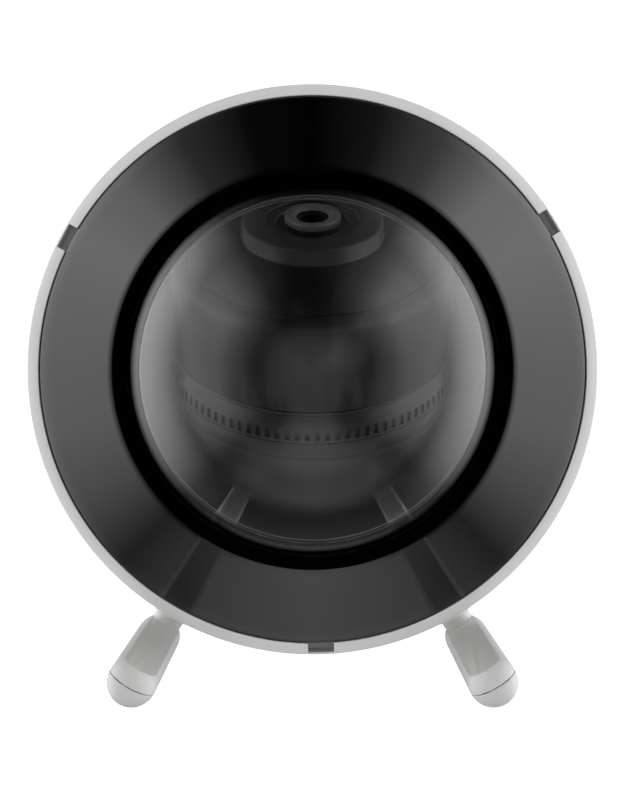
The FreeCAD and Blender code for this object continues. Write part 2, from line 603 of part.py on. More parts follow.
def tooth_outline(count, module):
    """Corners of an involute gear, with each flank as three straight steps."""
    pitch = count * module / 2
    base = pitch * math.cos(math.radians(PRESSURE_ANGLE))
    root = pitch - ROOT_DEPTH * module
    tip = pitch + module
    backlash = size("GearBacklash")

    def involute(radius):
        turn = math.acos(min(base / radius, 1.0))
        return math.tan(turn) - turn

    def half_angle(radius):
        flank = involute(pitch) - involute(max(radius, base))
        return math.pi / (2 * count) - backlash / (2 * pitch) + flank

    radii = [root, max(base, root + ROOT_STEP * module), pitch, tip]
    corners = []
    for number in range(count):
        middle = 2 * math.pi * number / count
        for radius in radii:
            corners.append((radius, middle - half_angle(radius)))
        for radius in reversed(radii):
            corners.append((radius, middle + half_angle(radius)))
    return [FreeCAD.Vector(radius * math.cos(turn), radius * math.sin(turn), 0)
            for radius, turn in corners]


def solid_from(corners, height, bore):
    """A flat solid from corners, with a round bore."""
    outline = Part.makePolygon(corners + corners[:1])
    blank = Part.Face(outline).extrude(FreeCAD.Vector(0, 0, height))
    return blank.cut(Part.makeCylinder(bore, height))


def feature(name, shape, placement):
    """An object whose shape is made straight from the sizes."""
    part = DOC.addObject("Part::Feature", name)
    part.Shape = shape
    part.Placement = placement
    return part


def into_ball(part):
    """Set a piece that is drawn about the ball's centre into the dome."""
    part.Placement = FreeCAD.Placement(FreeCAD.Vector(), FreeCAD.Rotation(-X_AXIS, 1))
    return bind(part, {"Placement.Base.z": CENTRE, "Placement.Rotation.Angle": "TiltRest"})


def build_plate():
    """Steel plate that is screwed to the wall or ceiling first."""
    disc = tube("plate_disc", "PlateRadius", "0", "0", "PlateThickness")
    holes = ring_of_rods("plate_wall_hole", "WallScrewHole", "PlateThickness",
                         "WallScrewCircle", "0", WALL_SCREWS, FIRST_WALL_SCREW)
    holes += ring_of_rods("plate_bolt_hole", "BoltRadius + ScrewClearance", "PlateThickness",
                          "HousingScrewCircle", "0", HOUSING_SCREWS)
    holes.append(rod("plate_cable_hole", "CableEntryPlateHole", "PlateThickness",
                     y="CableEntryOffset"))
    return [cut("mounting_plate", disc, joined("plate_holes", holes))]


def aerial_angle(side):
    """Angle of an aerial from +X: side is -1 on the left and 1 on the right."""
    return f"(270 + {side} * AerialAngle)"


def at_aerial(part, side):
    """Set a piece drawn with the pivot along +X and the aerial along +Z at its place."""
    part.Placement = FreeCAD.Placement(FreeCAD.Vector(), FreeCAD.Rotation(Z_AXIS, 1))
    return bind(part, {"Placement.Rotation.Angle": aerial_angle(side),
                       "Placement.Base.z": PIVOT_HEIGHT})


def build_housing():
    """White pot with the ledge for the bezel, posts for the inside and bosses for the aerials."""
    pot = turned("housing_pot", [
        ("0", FLOOR_BASE),
        ("PlateRadius + 2 * PlateGap", FLOOR_BASE),
        ("PlateRadius + 2 * PlateGap", "0"),
        ("SideRadius - BackRound", "0", "BackRound", 1),
        ("SideRadius", "BackRound"),
        ("RimRadius", "RimHeight - RimRound", "RimRound", 1),
        ("RimRadius - RimRound", "RimHeight"),
        ("RimRadius - RimWall", "RimHeight"),
        ("RimRadius - RimWall", LEDGE),
        ("LedgeRadius", LEDGE),
        ("SideRadius - HousingWall", "BackRound", INNER_ROUND, -1),
        (f"SideRadius - BackRound + {FLOOR_REACH}", FLOOR_TOP),
        ("0", FLOOR_TOP),
    ])
    post_height = f"{LINER_FLANGE_BOTTOM} - {FLOOR_BASE}"
    posts = ring_of_rods("liner_post", "BossRadius", post_height, "LinerPostCircle",
                         FLOOR_BASE, LINER_POSTS, FIRST_LINER_POST)
    posts += ring_of_rods("board_post", "BossRadius", f"BoardHeight - {FLOOR_BASE}",
                          "BoardPostCircle", FLOOR_BASE, BOARD_POSTS, FIRST_BOARD_POST)
    webs = []
    for number, angle in enumerate(angles(LINER_POSTS, FIRST_LINER_POST), start=1):
        web = group(f"post_web_{number}", [block(
            f"post_web_{number}_drawn", ("LinerPostCircle", "-PostWeb / 2", FLOOR_BASE),
            ("SideRadius - HousingWall / 2", "PostWeb / 2",
             "RimHeight - HookLength - PostWebGap"))])
        web.Placement = FreeCAD.Placement(FreeCAD.Vector(), FreeCAD.Rotation(Z_AXIS, angle))
        webs.append(web)
    web_room = turned("web_room", [
        ("LinerPostCircle - BossRadius", FLOOR_BASE),
        (f"SideRadius - BackRound + {FLOOR_REACH}", FLOOR_BASE),
        (f"SideRadius - BackRound + {FLOOR_REACH}", FLOOR_TOP, INNER_ROUND, 1),
        ("SideRadius - HousingWall / 2", "BackRound"),
        ("SideRadius - HousingWall / 2", "RimHeight"),
        ("LinerPostCircle - BossRadius", "RimHeight"),
    ])
    posts.append(shared("post_webs", joined("straight_webs", webs), web_room))
    bosses = []
    bores = []
    for side, word in ((-1, "left"), (1, "right")):
        boss = cross_rod(f"{word}_boss_drawn", "PivotBossRadius", "PivotBossInner",
                         "PivotBossOuter")
        bosses.append(at_aerial(group(f"{word}_boss", [boss]), side))
        bore = cross_rod(f"{word}_bore_drawn", "PivotRadius + PivotClearance",
                         "PivotBossInner - ToolMargin", "PivotBossOuter + ToolMargin")
        bores.append(at_aerial(group(f"{word}_bore", [bore]), side))
    notches = ring_of_blocks(
        "notch", ("LedgeRadius + ToolMargin", "-NotchWidth / 2", "RimHeight - NotchDepth"),
        ("RimRadius - NotchSkin", "NotchWidth / 2", "RimHeight + ToolMargin"), "NotchAngle")
    barb_top = "(RimHeight - HookLength + HookBarbHeight)"
    pockets = ring_of_blocks(
        "hook_pocket",
        ("LedgeRadius - ToolMargin", "-HookWidth / 2 - HookClearance",
         "RimHeight - HookLength - HookClearance"),
        ("LedgeRadius + HookBarb",
         "HookWidth / 2 + HookClearance", f"{barb_top} + HookClearance / 4"), "NotchAngle")
    holes = ring_of_rods("housing_bolt_hole", "BoltRadius + ScrewClearance",
                         "FloorThickness + 2 * ToolMargin", "HousingScrewCircle",
                         f"{FLOOR_BASE} - ToolMargin", HOUSING_SCREWS)
    holes += ring_of_rods("liner_screw_hole", "ScrewRadius + ScrewClearance",
                          "ScrewGrip + ToolMargin", "LinerPostCircle",
                          f"{LINER_FLANGE_BOTTOM} - ScrewGrip", LINER_POSTS, FIRST_LINER_POST)
    holes += ring_of_rods("board_screw_hole", "ScrewRadius + ScrewClearance",
                          "ScrewGrip + ToolMargin", "BoardPostCircle",
                          "BoardHeight - ScrewGrip", BOARD_POSTS, FIRST_BOARD_POST)
    holes.append(rod("housing_cable_hole", "CableEntryNeck", "FloorThickness + 2 * ToolMargin",
                     y="CableEntryOffset", z=f"{FLOOR_BASE} - ToolMargin"))
    holes.append(rod("housing_centre_hole", "SlipRingRadius + ScrewClearance",
                     "FloorThickness + 2 * ToolMargin", z=f"{FLOOR_BASE} - ToolMargin"))
    # The bosses stop at the ledge, so that the bezel and its gasket pass over them.
    room = rod("rim_room", "RimRadius - RimWall", "LedgeDepth + ToolMargin", z=LEDGE)
    solid = joined("housing_solid", [pot] + posts + bosses)
    tools = joined("housing_tools", notches + pockets + bores + holes + [room])
    return [cut("back_housing", solid, tools)]


def build_housing_fittings():
    """Grommet in the cable entry and the screws that hold the housing to its plate."""
    low = f"({FLOOR_BASE} - GrommetFlange)"
    high = f"({FLOOR_TOP} + GrommetFlange)"
    lip = "(CableEntryNeck + GrommetLip)"
    grommet = turned("cable_grommet", [
        ("CableBore", low), (lip, low), (lip, FLOOR_BASE), ("CableEntryNeck", FLOOR_BASE),
        ("CableEntryNeck", FLOOR_TOP), (lip, FLOOR_TOP), (lip, high), ("CableBore", high)])
    bind(grommet, {"Placement.Base.y": "CableEntryOffset"})
    bolts = []
    for number, angle in enumerate(angles(HOUSING_SCREWS), start=1):
        x = f"HousingScrewCircle * cos({angle})"
        y = f"HousingScrewCircle * sin({angle})"
        head = rod(f"bolt_head_{number}", "BoltHeadRadius", "BoltHead", x, y, FLOOR_TOP)
        shank = rod(f"bolt_shank_{number}", "BoltRadius", f"{FLOOR_TOP} - PlateGap", x, y,
                    "PlateGap")
        bolts.append(joined(f"bolt_{number}", [head, shank]))
    return [grommet, group("housing_screws", bolts)]


def build_bezel():
    """Glossy black cone round the dome, with its lip, screw bosses and three hooks."""
    def cone_top(radius):
        return f"({BEZEL_TOP} + ({BEZEL_RADIUS} - {radius}) * {BEZEL_SLOPE})"

    edge_inside = f"({BEZEL_RADIUS} - BezelEdge)"
    lip_outside = "(BezelLipRadius + BezelLipWall)"
    shoulder = f"({lip_outside} + BezelLipWall)"
    cone = turned("bezel_cone", [
        (BEZEL_RADIUS, BEZEL_BOTTOM),
        (BEZEL_RADIUS, BEZEL_TOP),
        ("BezelInnerRadius", "RimHeight + BezelCrest"),
        ("BezelLipRadius", "RimHeight + BezelLipTop"),
        ("BezelLipRadius", LIP_BOTTOM),
        (lip_outside, LIP_BOTTOM),
        (lip_outside, "RimHeight + BezelLipTop - BezelWall / 2"),
        (shoulder, f"{cone_top(shoulder)} - BezelWall"),
        (edge_inside, f"{cone_top(edge_inside)} - BezelWall"),
        (edge_inside, BEZEL_BOTTOM),
    ])
    boss_base = f"({FLANGE_BOTTOM} + ClampGap)"
    boss_height = f"{cone_top('(ClampScrewCircle + BossRadius)')} - BezelWall / 4 - {boss_base}"
    bosses = ring_of_rods("bezel_boss", "BossRadius", boss_height, "ClampScrewCircle",
                          boss_base, CLAMP_SCREWS)
    hook_face = "(LedgeRadius - HookClearance)"
    hook_top = f"({cone_top(hook_face)} - BezelWall / 2)"
    hooks = ring_of_blocks(
        "hook", (f"{hook_face} - HookThickness", "-HookWidth / 2", "RimHeight - HookLength"),
        (hook_face, "HookWidth / 2", hook_top), "NotchAngle")
    barbs = ring_of_blocks(
        "barb", (f"{hook_face} - HookThickness / 2", "-HookWidth / 2",
                 "RimHeight - HookLength"),
        (f"{hook_face} + HookBarb", "HookWidth / 2",
         "RimHeight - HookLength + HookBarbHeight"), "NotchAngle")
    holes = ring_of_rods("bezel_screw_hole", "ScrewRadius + ScrewClearance",
                         "ScrewGrip - ClampRing + ScrewRadius / 2", "ClampScrewCircle",
                         boss_base, CLAMP_SCREWS)
    solid = joined("bezel_solid", [cone] + bosses + hooks + barbs)
    return [cut("bezel_ring", solid, joined("bezel_holes", holes))]


def build_dome():
    """Smoked dome with its gaskets and the ring that clamps its flange to the bezel."""
    inside = "(DomeRadius - DomeWall)"
    flange_top = f"({CENTRE} - DomeFlangeDrop)"
    dome = turned("dome_bubble", [
        ("DomeRadius", CENTRE, "DomeRadius", 1),
        ("0", f"{CENTRE} + DomeRadius"),
        ("0", f"{CENTRE} + {inside}", inside, -1),
        (inside, CENTRE),
        (inside, FLANGE_BOTTOM),
        ("DomeFlangeRadius", FLANGE_BOTTOM),
        ("DomeFlangeRadius", flange_top),
        ("DomeRadius", flange_top),
    ])
    dome_gasket = tube("dome_gasket", "BezelLipRadius + BezelLipWall", "BezelLipRadius",
                       flange_top, "DomeGasket")
    gasket_height = f"({BEZEL_BOTTOM} - {LEDGE})"
    housing_gasket = tube("housing_gasket", f"{BEZEL_RADIUS} - GasketStep",
                          "LedgeRadius + HookClearance", LEDGE, gasket_height)
    ring = tube("clamp_ring_blank", "ClampRingRadius", "ClampRingBore", CLAMP_BOTTOM,
                "ClampRing")
    holes = ring_of_rods("clamp_hole", "ScrewRadius + ScrewClearance", "ClampRing",
                         "ClampScrewCircle", CLAMP_BOTTOM, CLAMP_SCREWS)
    clamp = cut("dome_clamp_ring", ring, joined("clamp_holes", holes))
    clamp_screws = screws("clamp_screws", "ClampScrewCircle", CLAMP_BOTTOM, CLAMP_SCREWS,
                          downward=False)
    return [dome, dome_gasket, housing_gasket, clamp, clamp_screws]


def build_liner():
    """Light cup that hides the works below the ball."""
    outside = "(LinerRadius + LinerWall)"
    cup = turned("liner_cup_blank", [
        (on_circle("LinerRadius", "LinerTop"), f"{CENTRE} - LinerTop", "LinerRadius", -1),
        ("LinerHole", f"{CENTRE} - {on_circle('LinerRadius', 'LinerHole')}"),
        ("LinerHole", f"{CENTRE} - {on_circle(outside, 'LinerHole')}", outside, 1),
        (on_circle(outside, "(LinerFlangeTop + LinerFlange)"), LINER_FLANGE_BOTTOM),
        ("LinerFlangeRadius", LINER_FLANGE_BOTTOM),
        ("LinerFlangeRadius", f"{CENTRE} - LinerFlangeTop"),
        (outside, f"{CENTRE} - LinerFlangeTop"),
        (outside, f"{CENTRE} - LinerTop"),
    ])
    holes = ring_of_rods("liner_hole", "ScrewRadius + ScrewClearance", "LinerFlange",
                         "LinerPostCircle", LINER_FLANGE_BOTTOM, LINER_POSTS,
                         FIRST_LINER_POST)
    return [cut("liner_cup", cup, joined("liner_holes", holes))]


def build_electronics():
    """Ring-shaped main board with its sockets and radio."""
    top = "(BoardHeight + BoardThickness)"
    ring = tube("board_ring", "BoardOuterRadius", "BoardInnerRadius", "BoardHeight",
                "BoardThickness")
    holes = ring_of_rods("board_hole", "ScrewRadius + ScrewClearance", "BoardThickness",
                         "BoardPostCircle", "BoardHeight", BOARD_POSTS, FIRST_BOARD_POST)
    board = cut("main_board", ring, joined("board_holes", holes))
    board_screws = screws("board_screws", "BoardPostCircle", top, BOARD_POSTS,
                          FIRST_BOARD_POST)
    liner_screws = screws("liner_screws", "LinerPostCircle", f"({CENTRE} - LinerFlangeTop)",
                          LINER_POSTS, FIRST_LINER_POST)
    post_screws = group("post_screws", board_screws.Links + liner_screws.Links)
    shell = block("lan_shell", ("-LanWidth / 2", "LanOffset", top),
                  ("LanWidth / 2", "LanOffset + LanLength", f"{top} + LanHeight"))
    mouth = block("lan_mouth",
                  ("-LanWidth / 2 + LanWall", "LanOffset + LanWall", f"{top} + 1.5 * LanWall"),
                  ("LanWidth / 2 - LanWall", "LanOffset + LanLength + ToolMargin",
                   f"{top} + LanHeight - LanWall"))
    lan_socket = cut("lan_socket", shell, mouth)
    terminal_end = "(PartsOffset + TerminalLength)"
    terminal_top = f"({top} + TerminalHeight)"
    terminal_blank = block("terminal_blank", ("TerminalPlace", "PartsOffset", top),
                           ("TerminalPlace + TerminalWidth", terminal_end, terminal_top))
    openings = []
    for number, share in ((1, "TerminalWidth / 4"), (2, "3 * TerminalWidth / 4")):
        middle = f"(TerminalPlace + {share})"
        openings.append(block(
            f"terminal_mouth_{number}",
            (f"{middle} - TerminalMouth / 2", f"{terminal_end} - TerminalLength / 2",
             f"{top} + TerminalFoot"),
            (f"{middle} + TerminalMouth / 2", f"{terminal_end} + ToolMargin",
             f"{top} + TerminalFoot + TerminalMouth")))
        openings.append(rod(f"terminal_well_{number}", "TerminalWell",
                            "TerminalWellDepth + ToolMargin", middle,
                            "PartsOffset + TerminalLength / 2",
                            f"{terminal_top} - TerminalWellDepth"))
    terminal = cut("power_terminal", terminal_blank, joined("terminal_openings", openings))
    radio_board = block("radio_board", ("RadioPlace", "PartsOffset", top),
                        ("RadioPlace + RadioWidth", "PartsOffset + RadioLength",
                         f"{top} + RadioBoard"))
    shield = block("radio_shield",
                   ("RadioPlace + RadioBoard", "PartsOffset + RadioBoard", top),
                   ("RadioPlace + RadioWidth - RadioBoard",
                    "PartsOffset + RadioLength - RadioTail", f"{top} + RadioHeight"))
    radio = joined("wifi_module", [radio_board, shield])
    return [board, post_screws, lan_socket, terminal, radio]


def build_pan_base():
    """Fixed base of the pan drive: spigot, bearing, slip ring and motor."""
    shoulder = "(BearingBore + BearingRing)"
    plate = turned("chassis_spigot", [
        ("SlipRingRadius + ScrewClearance", FLOOR_TOP),
        ("ChassisRadius", FLOOR_TOP),
        ("ChassisRadius", CHASSIS_TOP),
        (shoulder, CHASSIS_TOP),
        (shoulder, "BearingBase"),
        ("BearingBore", "BearingBase"),
        ("BearingBore", BEARING_TOP),
        ("SlipRingRadius + ScrewClearance", BEARING_TOP),
    ])
    # The tongue under the motor stays inside the round back edge of the housing.
    straight_tongue = block(
        "straight_tongue",
        (f"-{PAN_DISTANCE} - PanMotorRadius", "-PanMotorEars - BossRadius", FLOOR_TOP),
        ("-BearingRadius", "PanMotorEars + BossRadius", CHASSIS_TOP))
    floor_room = rod("floor_room", f"SideRadius - BackRound + {FLOOR_REACH} - ToolMargin",
                     "ChassisThickness", z=FLOOR_TOP)
    tongue = shared("chassis_tongue", straight_tongue, floor_room)
    through = "ChassisThickness + 2 * ToolMargin"
    below = f"{FLOOR_TOP} - ToolMargin"
    holes = ring_of_rods("chassis_hole", "ScrewRadius + ScrewClearance", through,
                         "ChassisScrewCircle", below, CHASSIS_SCREWS, FIRST_CHASSIS_SCREW)
    for number, side in enumerate((-1, 1), start=1):
        holes.append(rod(f"motor_screw_hole_{number}", "ScrewRadius + ScrewClearance", through,
                         x=f"-{PAN_DISTANCE}", y=f"{side} * PanMotorEars", z=below))
    chassis = cut("pan_chassis", joined("chassis_solid", [plate, tongue]),
                  joined("chassis_holes", holes))
    chassis_screws = screws("chassis_screws", "ChassisScrewCircle", CHASSIS_TOP,
                            CHASSIS_SCREWS, FIRST_CHASSIS_SCREW, length="ChassisThickness")

    ear_top = f"({CHASSIS_TOP} + PanMotorEar)"
    can = rod("pan_motor_can", "PanMotorRadius", "PanMotorLength", x=f"-{PAN_DISTANCE}",
              z=CHASSIS_TOP)
    boss = rod("pan_motor_boss", "PanMotorBoss",
               "PanMotorLength + PanMotorGap - PanMotorBossGap", x=f"-{PAN_DISTANCE}",
               z=CHASSIS_TOP)
    ears = block("pan_motor_ears",
                 (f"-{PAN_DISTANCE} - BossRadius", "-PanMotorEars - BossRadius", CHASSIS_TOP),
                 (f"-{PAN_DISTANCE} + BossRadius", "PanMotorEars + BossRadius",
                  ear_top))
    motor_holes = [rod("pan_motor_bore", "PanShaftRadius + PivotClearance",
                       "PanMotorLength + PanMotorGap", x=f"-{PAN_DISTANCE}", z=ear_top)]
    motor_screws = []
    for number, side in enumerate((-1, 1), start=1):
        y = f"{side} * PanMotorEars"
        motor_holes.append(rod(f"pan_ear_hole_{number}", "ScrewRadius + ScrewClearance",
                               "PanMotorEar + 2 * ToolMargin", x=f"-{PAN_DISTANCE}", y=y,
                               z=f"{CHASSIS_TOP} - ToolMargin"))
        head = rod(f"motor_screw_head_{number}", "ScrewHeadRadius", "ScrewHead",
                   f"-{PAN_DISTANCE}", y, ear_top)
        shank = rod(f"motor_screw_shank_{number}", "ScrewRadius",
                    "ChassisThickness + PanMotorEar", f"-{PAN_DISTANCE}", y, FLOOR_TOP)
        motor_screws.append(joined(f"motor_screw_{number}", [head, shank]))
    motor = cut("pan_motor", joined("pan_motor_solid", [can, boss, ears]),
                joined("pan_motor_holes", motor_holes))

    slip_body = turned("slip_ring_body", [
        ("0", FLOOR_BASE), ("SlipRingRadius", FLOOR_BASE), ("SlipRingRadius", "SlipRingTop"),
        ("SlipRingBore", "SlipRingTop"), ("SlipRingBore", f"{FLOOR_TOP} + SlipRingFloor"),
        ("0", f"{FLOOR_TOP} + SlipRingFloor")])
    base_screws = group("pan_base_screws", chassis_screws.Links + motor_screws)
    return [chassis, base_screws, motor, slip_body]


def build_bearing():
    """Ball bearing between the spigot and the turntable."""
    middle = "(BearingBase + BearingWidth / 2)"
    track = "((BearingBore + BearingRadius) / 2)"
    groove = "(BearingBall + BearingPlay)"
    inner_face = "(BearingBore + BearingRing)"
    outer_face = "(BearingRadius - BearingRing)"
    reach = on_circle(groove, f"({track} - {inner_face})")
    inner = turned("bearing_inner_ring", [
        ("BearingBore", "BearingBase"), (inner_face, "BearingBase"),
        (inner_face, f"{middle} - {reach}", groove, -1), (inner_face, f"{middle} + {reach}"),
        (inner_face, BEARING_TOP), ("BearingBore", BEARING_TOP)])
    outer = turned("bearing_outer_ring", [
        (outer_face, "BearingBase"), ("BearingRadius", "BearingBase"),
        ("BearingRadius", BEARING_TOP), (outer_face, BEARING_TOP),
        (outer_face, f"{middle} + {reach}", groove, -1), (outer_face, f"{middle} - {reach}")])
    balls = []
    for number, angle in enumerate(angles(BEARING_BALLS), start=1):
        ball = DOC.addObject("Part::Sphere", f"bearing_ball_{number}")
        bind(ball, {"Radius": "BearingBall", "Placement.Base.x": f"{track} * cos({angle})",
                    "Placement.Base.y": f"{track} * sin({angle})", "Placement.Base.z": middle})
        balls.append(ball)
    return [inner, outer, group("bearing_balls", balls)]


def build_turntable():
    """Turning platform with its gear, slip ring rotor and screws for the yoke."""
    hub = "(BearingRadius + TurntableHub)"
    platform = turned("turntable_blank", [
        ("SlipRingBore", TURNTABLE_BOTTOM), ("SlipRingBore", TURNTABLE_TOP),
        ("TurntableRadius", TURNTABLE_TOP), ("TurntableRadius", TURNTABLE_BOTTOM),
        (hub, TURNTABLE_BOTTOM), (hub, "BearingBase"), ("BearingRadius", "BearingBase"),
        ("BearingRadius", BEARING_TOP), ("BearingRadius - BearingRing / 2", BEARING_TOP),
        ("BearingRadius - BearingRing / 2", TURNTABLE_BOTTOM)])
    holes = ring_of_rods("turntable_hole", "ScrewRadius + ScrewClearance",
                         "TurntableThickness", "YokeScrewCircle", TURNTABLE_BOTTOM,
                         YOKE_SCREWS)
    turntable = cut("turntable", platform, joined("turntable_holes", holes))
    teeth = int(size("PanGearTeeth"))
    gear_shape = solid_from(tooth_outline(teeth, size("PanModule")), size("PanGearWidth"),
                            size(hub))
    half_tooth = 180.0 / teeth
    gear = feature("ring_gear", gear_shape, FreeCAD.Placement(
        FreeCAD.Vector(0, 0, size(GEAR_BASE)), FreeCAD.Rotation(Z_AXIS, half_tooth)))
    rotor_radius = "(SlipRingBore - RotorClearance)"
    rotor_bottom = f"{FLOOR_TOP} + SlipRingFloor + RotorClearance"
    rotor = turned("slip_ring_rotor", [
        ("0", rotor_bottom),
        (rotor_radius, rotor_bottom),
        (rotor_radius, f"{TURNTABLE_BOTTOM} - SlipRotorFlangeHeight"),
        ("SlipRotorFlange", f"{TURNTABLE_BOTTOM} - SlipRotorFlangeHeight"),
        ("SlipRotorFlange", TURNTABLE_BOTTOM),
        ("0", TURNTABLE_BOTTOM)])
    return [turntable, gear, rotor]


def build_pan_pinion():
    """Pinion on the pan motor's shaft, in mesh with the ring gear."""
    teeth = int(size("PanPinionTeeth"))
    place = FreeCAD.Vector(-size(PAN_DISTANCE), 0, size(GEAR_BASE))
    shape = solid_from(tooth_outline(teeth, size("PanModule")), size("PanGearWidth"),
                       size("PanShaftRadius"))
    pinion = feature("pan_pinion", shape,
                     FreeCAD.Placement(place, FreeCAD.Rotation(Z_AXIS, 0)))
    shaft_base = f"({CHASSIS_TOP} + PanMotorEar + ShaftGap)"
    shaft = rod("pan_motor_shaft", "PanShaftRadius",
                f"{TURNTABLE_BOTTOM} + ShaftBeyond - {shaft_base}", x=f"-{PAN_DISTANCE}",
                z=shaft_base)
    return [pinion, shaft]


def build_yoke():
    """C-shaped arm inside the ball, on a stem that passes through the slot of the ball."""
    outer = DOC.addObject("Part::Cylinder", "yoke_disc")
    inner = DOC.addObject("Part::Cylinder", "yoke_opening")
    for part, radius in ((outer, "YokeRadius"), (inner, "YokeRadius - YokeWidth")):
        part.Placement = FreeCAD.Placement(FreeCAD.Vector(), FreeCAD.Rotation(X_AXIS, 90))
        bind(part, {"Radius": radius, "Height": "YokeThickness",
                    "Placement.Base.y": "YokeThickness / 2", "Placement.Base.z": CENTRE})
    above = block("yoke_above",
                  ("-YokeRadius - ToolMargin", "-YokeThickness", f"{CENTRE} + YokeAbove"),
                  ("YokeRadius + ToolMargin", "YokeThickness",
                   f"{CENTRE} + YokeRadius + ToolMargin"))
    arc = cut("yoke_arc", outer, joined("yoke_gap", [inner, above]))
    stem = block("yoke_stem", ("-StemWidth / 2", "-StemThickness / 2", TURNTABLE_TOP),
                 ("StemWidth / 2", "StemThickness / 2",
                  f"{CENTRE} - YokeRadius + YokeWidth / 2"))
    foot = rod("yoke_foot", "YokeFlangeRadius", "YokeFlange", z=TURNTABLE_TOP)
    tilt_axis_below = f"({CENTRE} - {TILT_DISTANCE})"
    bracket = block("yoke_bracket",
                    ("BracketPlace", "-YokeThickness",
                     f"{CENTRE} - {on_circle('(YokeRadius - YokeWidth / 2)', 'BracketPlace')}"),
                    ("BracketPlace + BracketThickness", "YokeThickness",
                     f"{tilt_axis_below} + TiltMotorRadius + BracketThickness"))
    eyes = [cross_rod("left_eye", "YokeAbove", "-YokeRadius + EyeStep",
                      "-YokeRadius + YokeWidth", z=CENTRE),
            cross_rod("right_eye", "YokeAbove", "YokeRadius - YokeWidth",
                      "YokeRadius - EyeStep", z=CENTRE)]
    solid = joined("yoke_solid", [arc, stem, foot, bracket] + eyes)
    holes = [cross_rod("yoke_trunnion_hole", "TrunnionRadius + TrunnionPlay + BushWall",
                       "-YokeRadius - ToolMargin", "YokeRadius + ToolMargin", z=CENTRE),
             cross_rod("bracket_hole", "TiltShaftRadius + PivotClearance",
                       "BracketPlace - ToolMargin",
                       "BracketPlace + BracketThickness + ToolMargin", z=tilt_axis_below)]
    holes += ring_of_rods("yoke_screw_hole", "ScrewRadius + ScrewClearance",
                          "YokeFlange + ToolMargin", "YokeScrewCircle", TURNTABLE_TOP,
                          YOKE_SCREWS)
    yoke = cut("tilt_yoke", solid, joined("yoke_holes", holes))
    yoke_screws = screws("yoke_screws", "YokeScrewCircle", f"({TURNTABLE_TOP} + YokeFlange)",
                         YOKE_SCREWS, length="(YokeFlange + TurntableThickness)")
    bushes = []
    for word, start, end in (
            ("left", "-YokeRadius + EyeStep", "-YokeRadius + YokeWidth"),
            ("right", "YokeRadius - YokeWidth", "YokeRadius - EyeStep")):
        ring = cross_rod(f"{word}_bush_blank", "TrunnionRadius + TrunnionPlay + BushWall",
                         start, end, z=CENTRE)
        bore = cross_rod(f"{word}_bush_bore", "TrunnionRadius + TrunnionPlay",
                         f"{start} - ToolMargin", f"{end} + ToolMargin", z=CENTRE)
        bushes.append(cut(f"{word}_bush", ring, bore))
    can = cross_rod("tilt_motor_can", "TiltMotorRadius", "BracketPlace - TiltMotorLength",
                    "BracketPlace", z=tilt_axis_below)
    bore = cross_rod("tilt_motor_bore", "TiltShaftRadius + PivotClearance",
                     "BracketPlace - TiltMotorLength / 3", "BracketPlace + ToolMargin",
                     z=tilt_axis_below)
    motor = cut("tilt_motor", can, bore)
    return [yoke, yoke_screws, group("trunnion_bushes", bushes), motor]


def build_tilt_pinion():
    """Pinion on the tilt motor's shaft, in mesh with the tilt gear."""
    teeth = int(size("TiltPinionTeeth"))
    shape = solid_from(tooth_outline(teeth, size("TiltModule")), size("TiltGearWidth"),
                       size("TiltShaftRadius"))
    height = size(f"{CENTRE} - {TILT_DISTANCE}")
    # The gear's corners lie in its XY plane, so both gears are turned to face along X.
    facing = FreeCAD.Rotation(Y_AXIS, 90)
    half_tooth = FreeCAD.Rotation(Z_AXIS, 180.0 / teeth)
    pinion = feature("tilt_pinion", shape, FreeCAD.Placement(
        FreeCAD.Vector(size("TiltGearPlace"), 0, height), facing.multiply(half_tooth)))
    shaft = cross_rod("tilt_motor_shaft", "TiltShaftRadius",
                      "BracketPlace - TiltMotorLength / 3 + ShaftGap",
                      "TiltGearPlace + TiltGearWidth + ShaftBeyond",
                      z=f"({CENTRE} - {TILT_DISTANCE})")
    return [pinion, shaft]


def build_tilt_frame():
    """Ring inside the ball with the trunnion pins and the tilt gear."""
    ring = tube("frame_ring", "FrameRadius", "FrameRadius - FrameWall", "-FrameBelow",
                "FrameBelow + FrameAbove")
    hole = cross_rod("frame_hole", "TrunnionRadius", "-FrameRadius - ToolMargin",
                     "FrameRadius + ToolMargin")
    frame = into_ball(cut("tilt_frame", ring, hole))
    long_pin = cross_rod("long_pin", "TrunnionRadius", "TiltGearPlace - ShaftBeyond",
                         "FrameRadius - PinShort")
    short_pin = cross_rod("short_pin", "TrunnionRadius", "-FrameRadius + PinShort",
                          "-YokeRadius + YokeWidth + PinBeyond")
    pins = into_ball(group("trunnion_pins", [long_pin, short_pin]))
    teeth = int(size("TiltGearTeeth"))
    shape = solid_from(tooth_outline(teeth, size("TiltModule")), size("TiltGearWidth"),
                       size("TrunnionRadius"))
    gear = feature("tilt_gear", shape, FreeCAD.Placement(
        FreeCAD.Vector(size("TiltGearPlace"), 0, size(CENTRE)), FreeCAD.Rotation(Y_AXIS, 90)))
    return [frame, pins, gear]


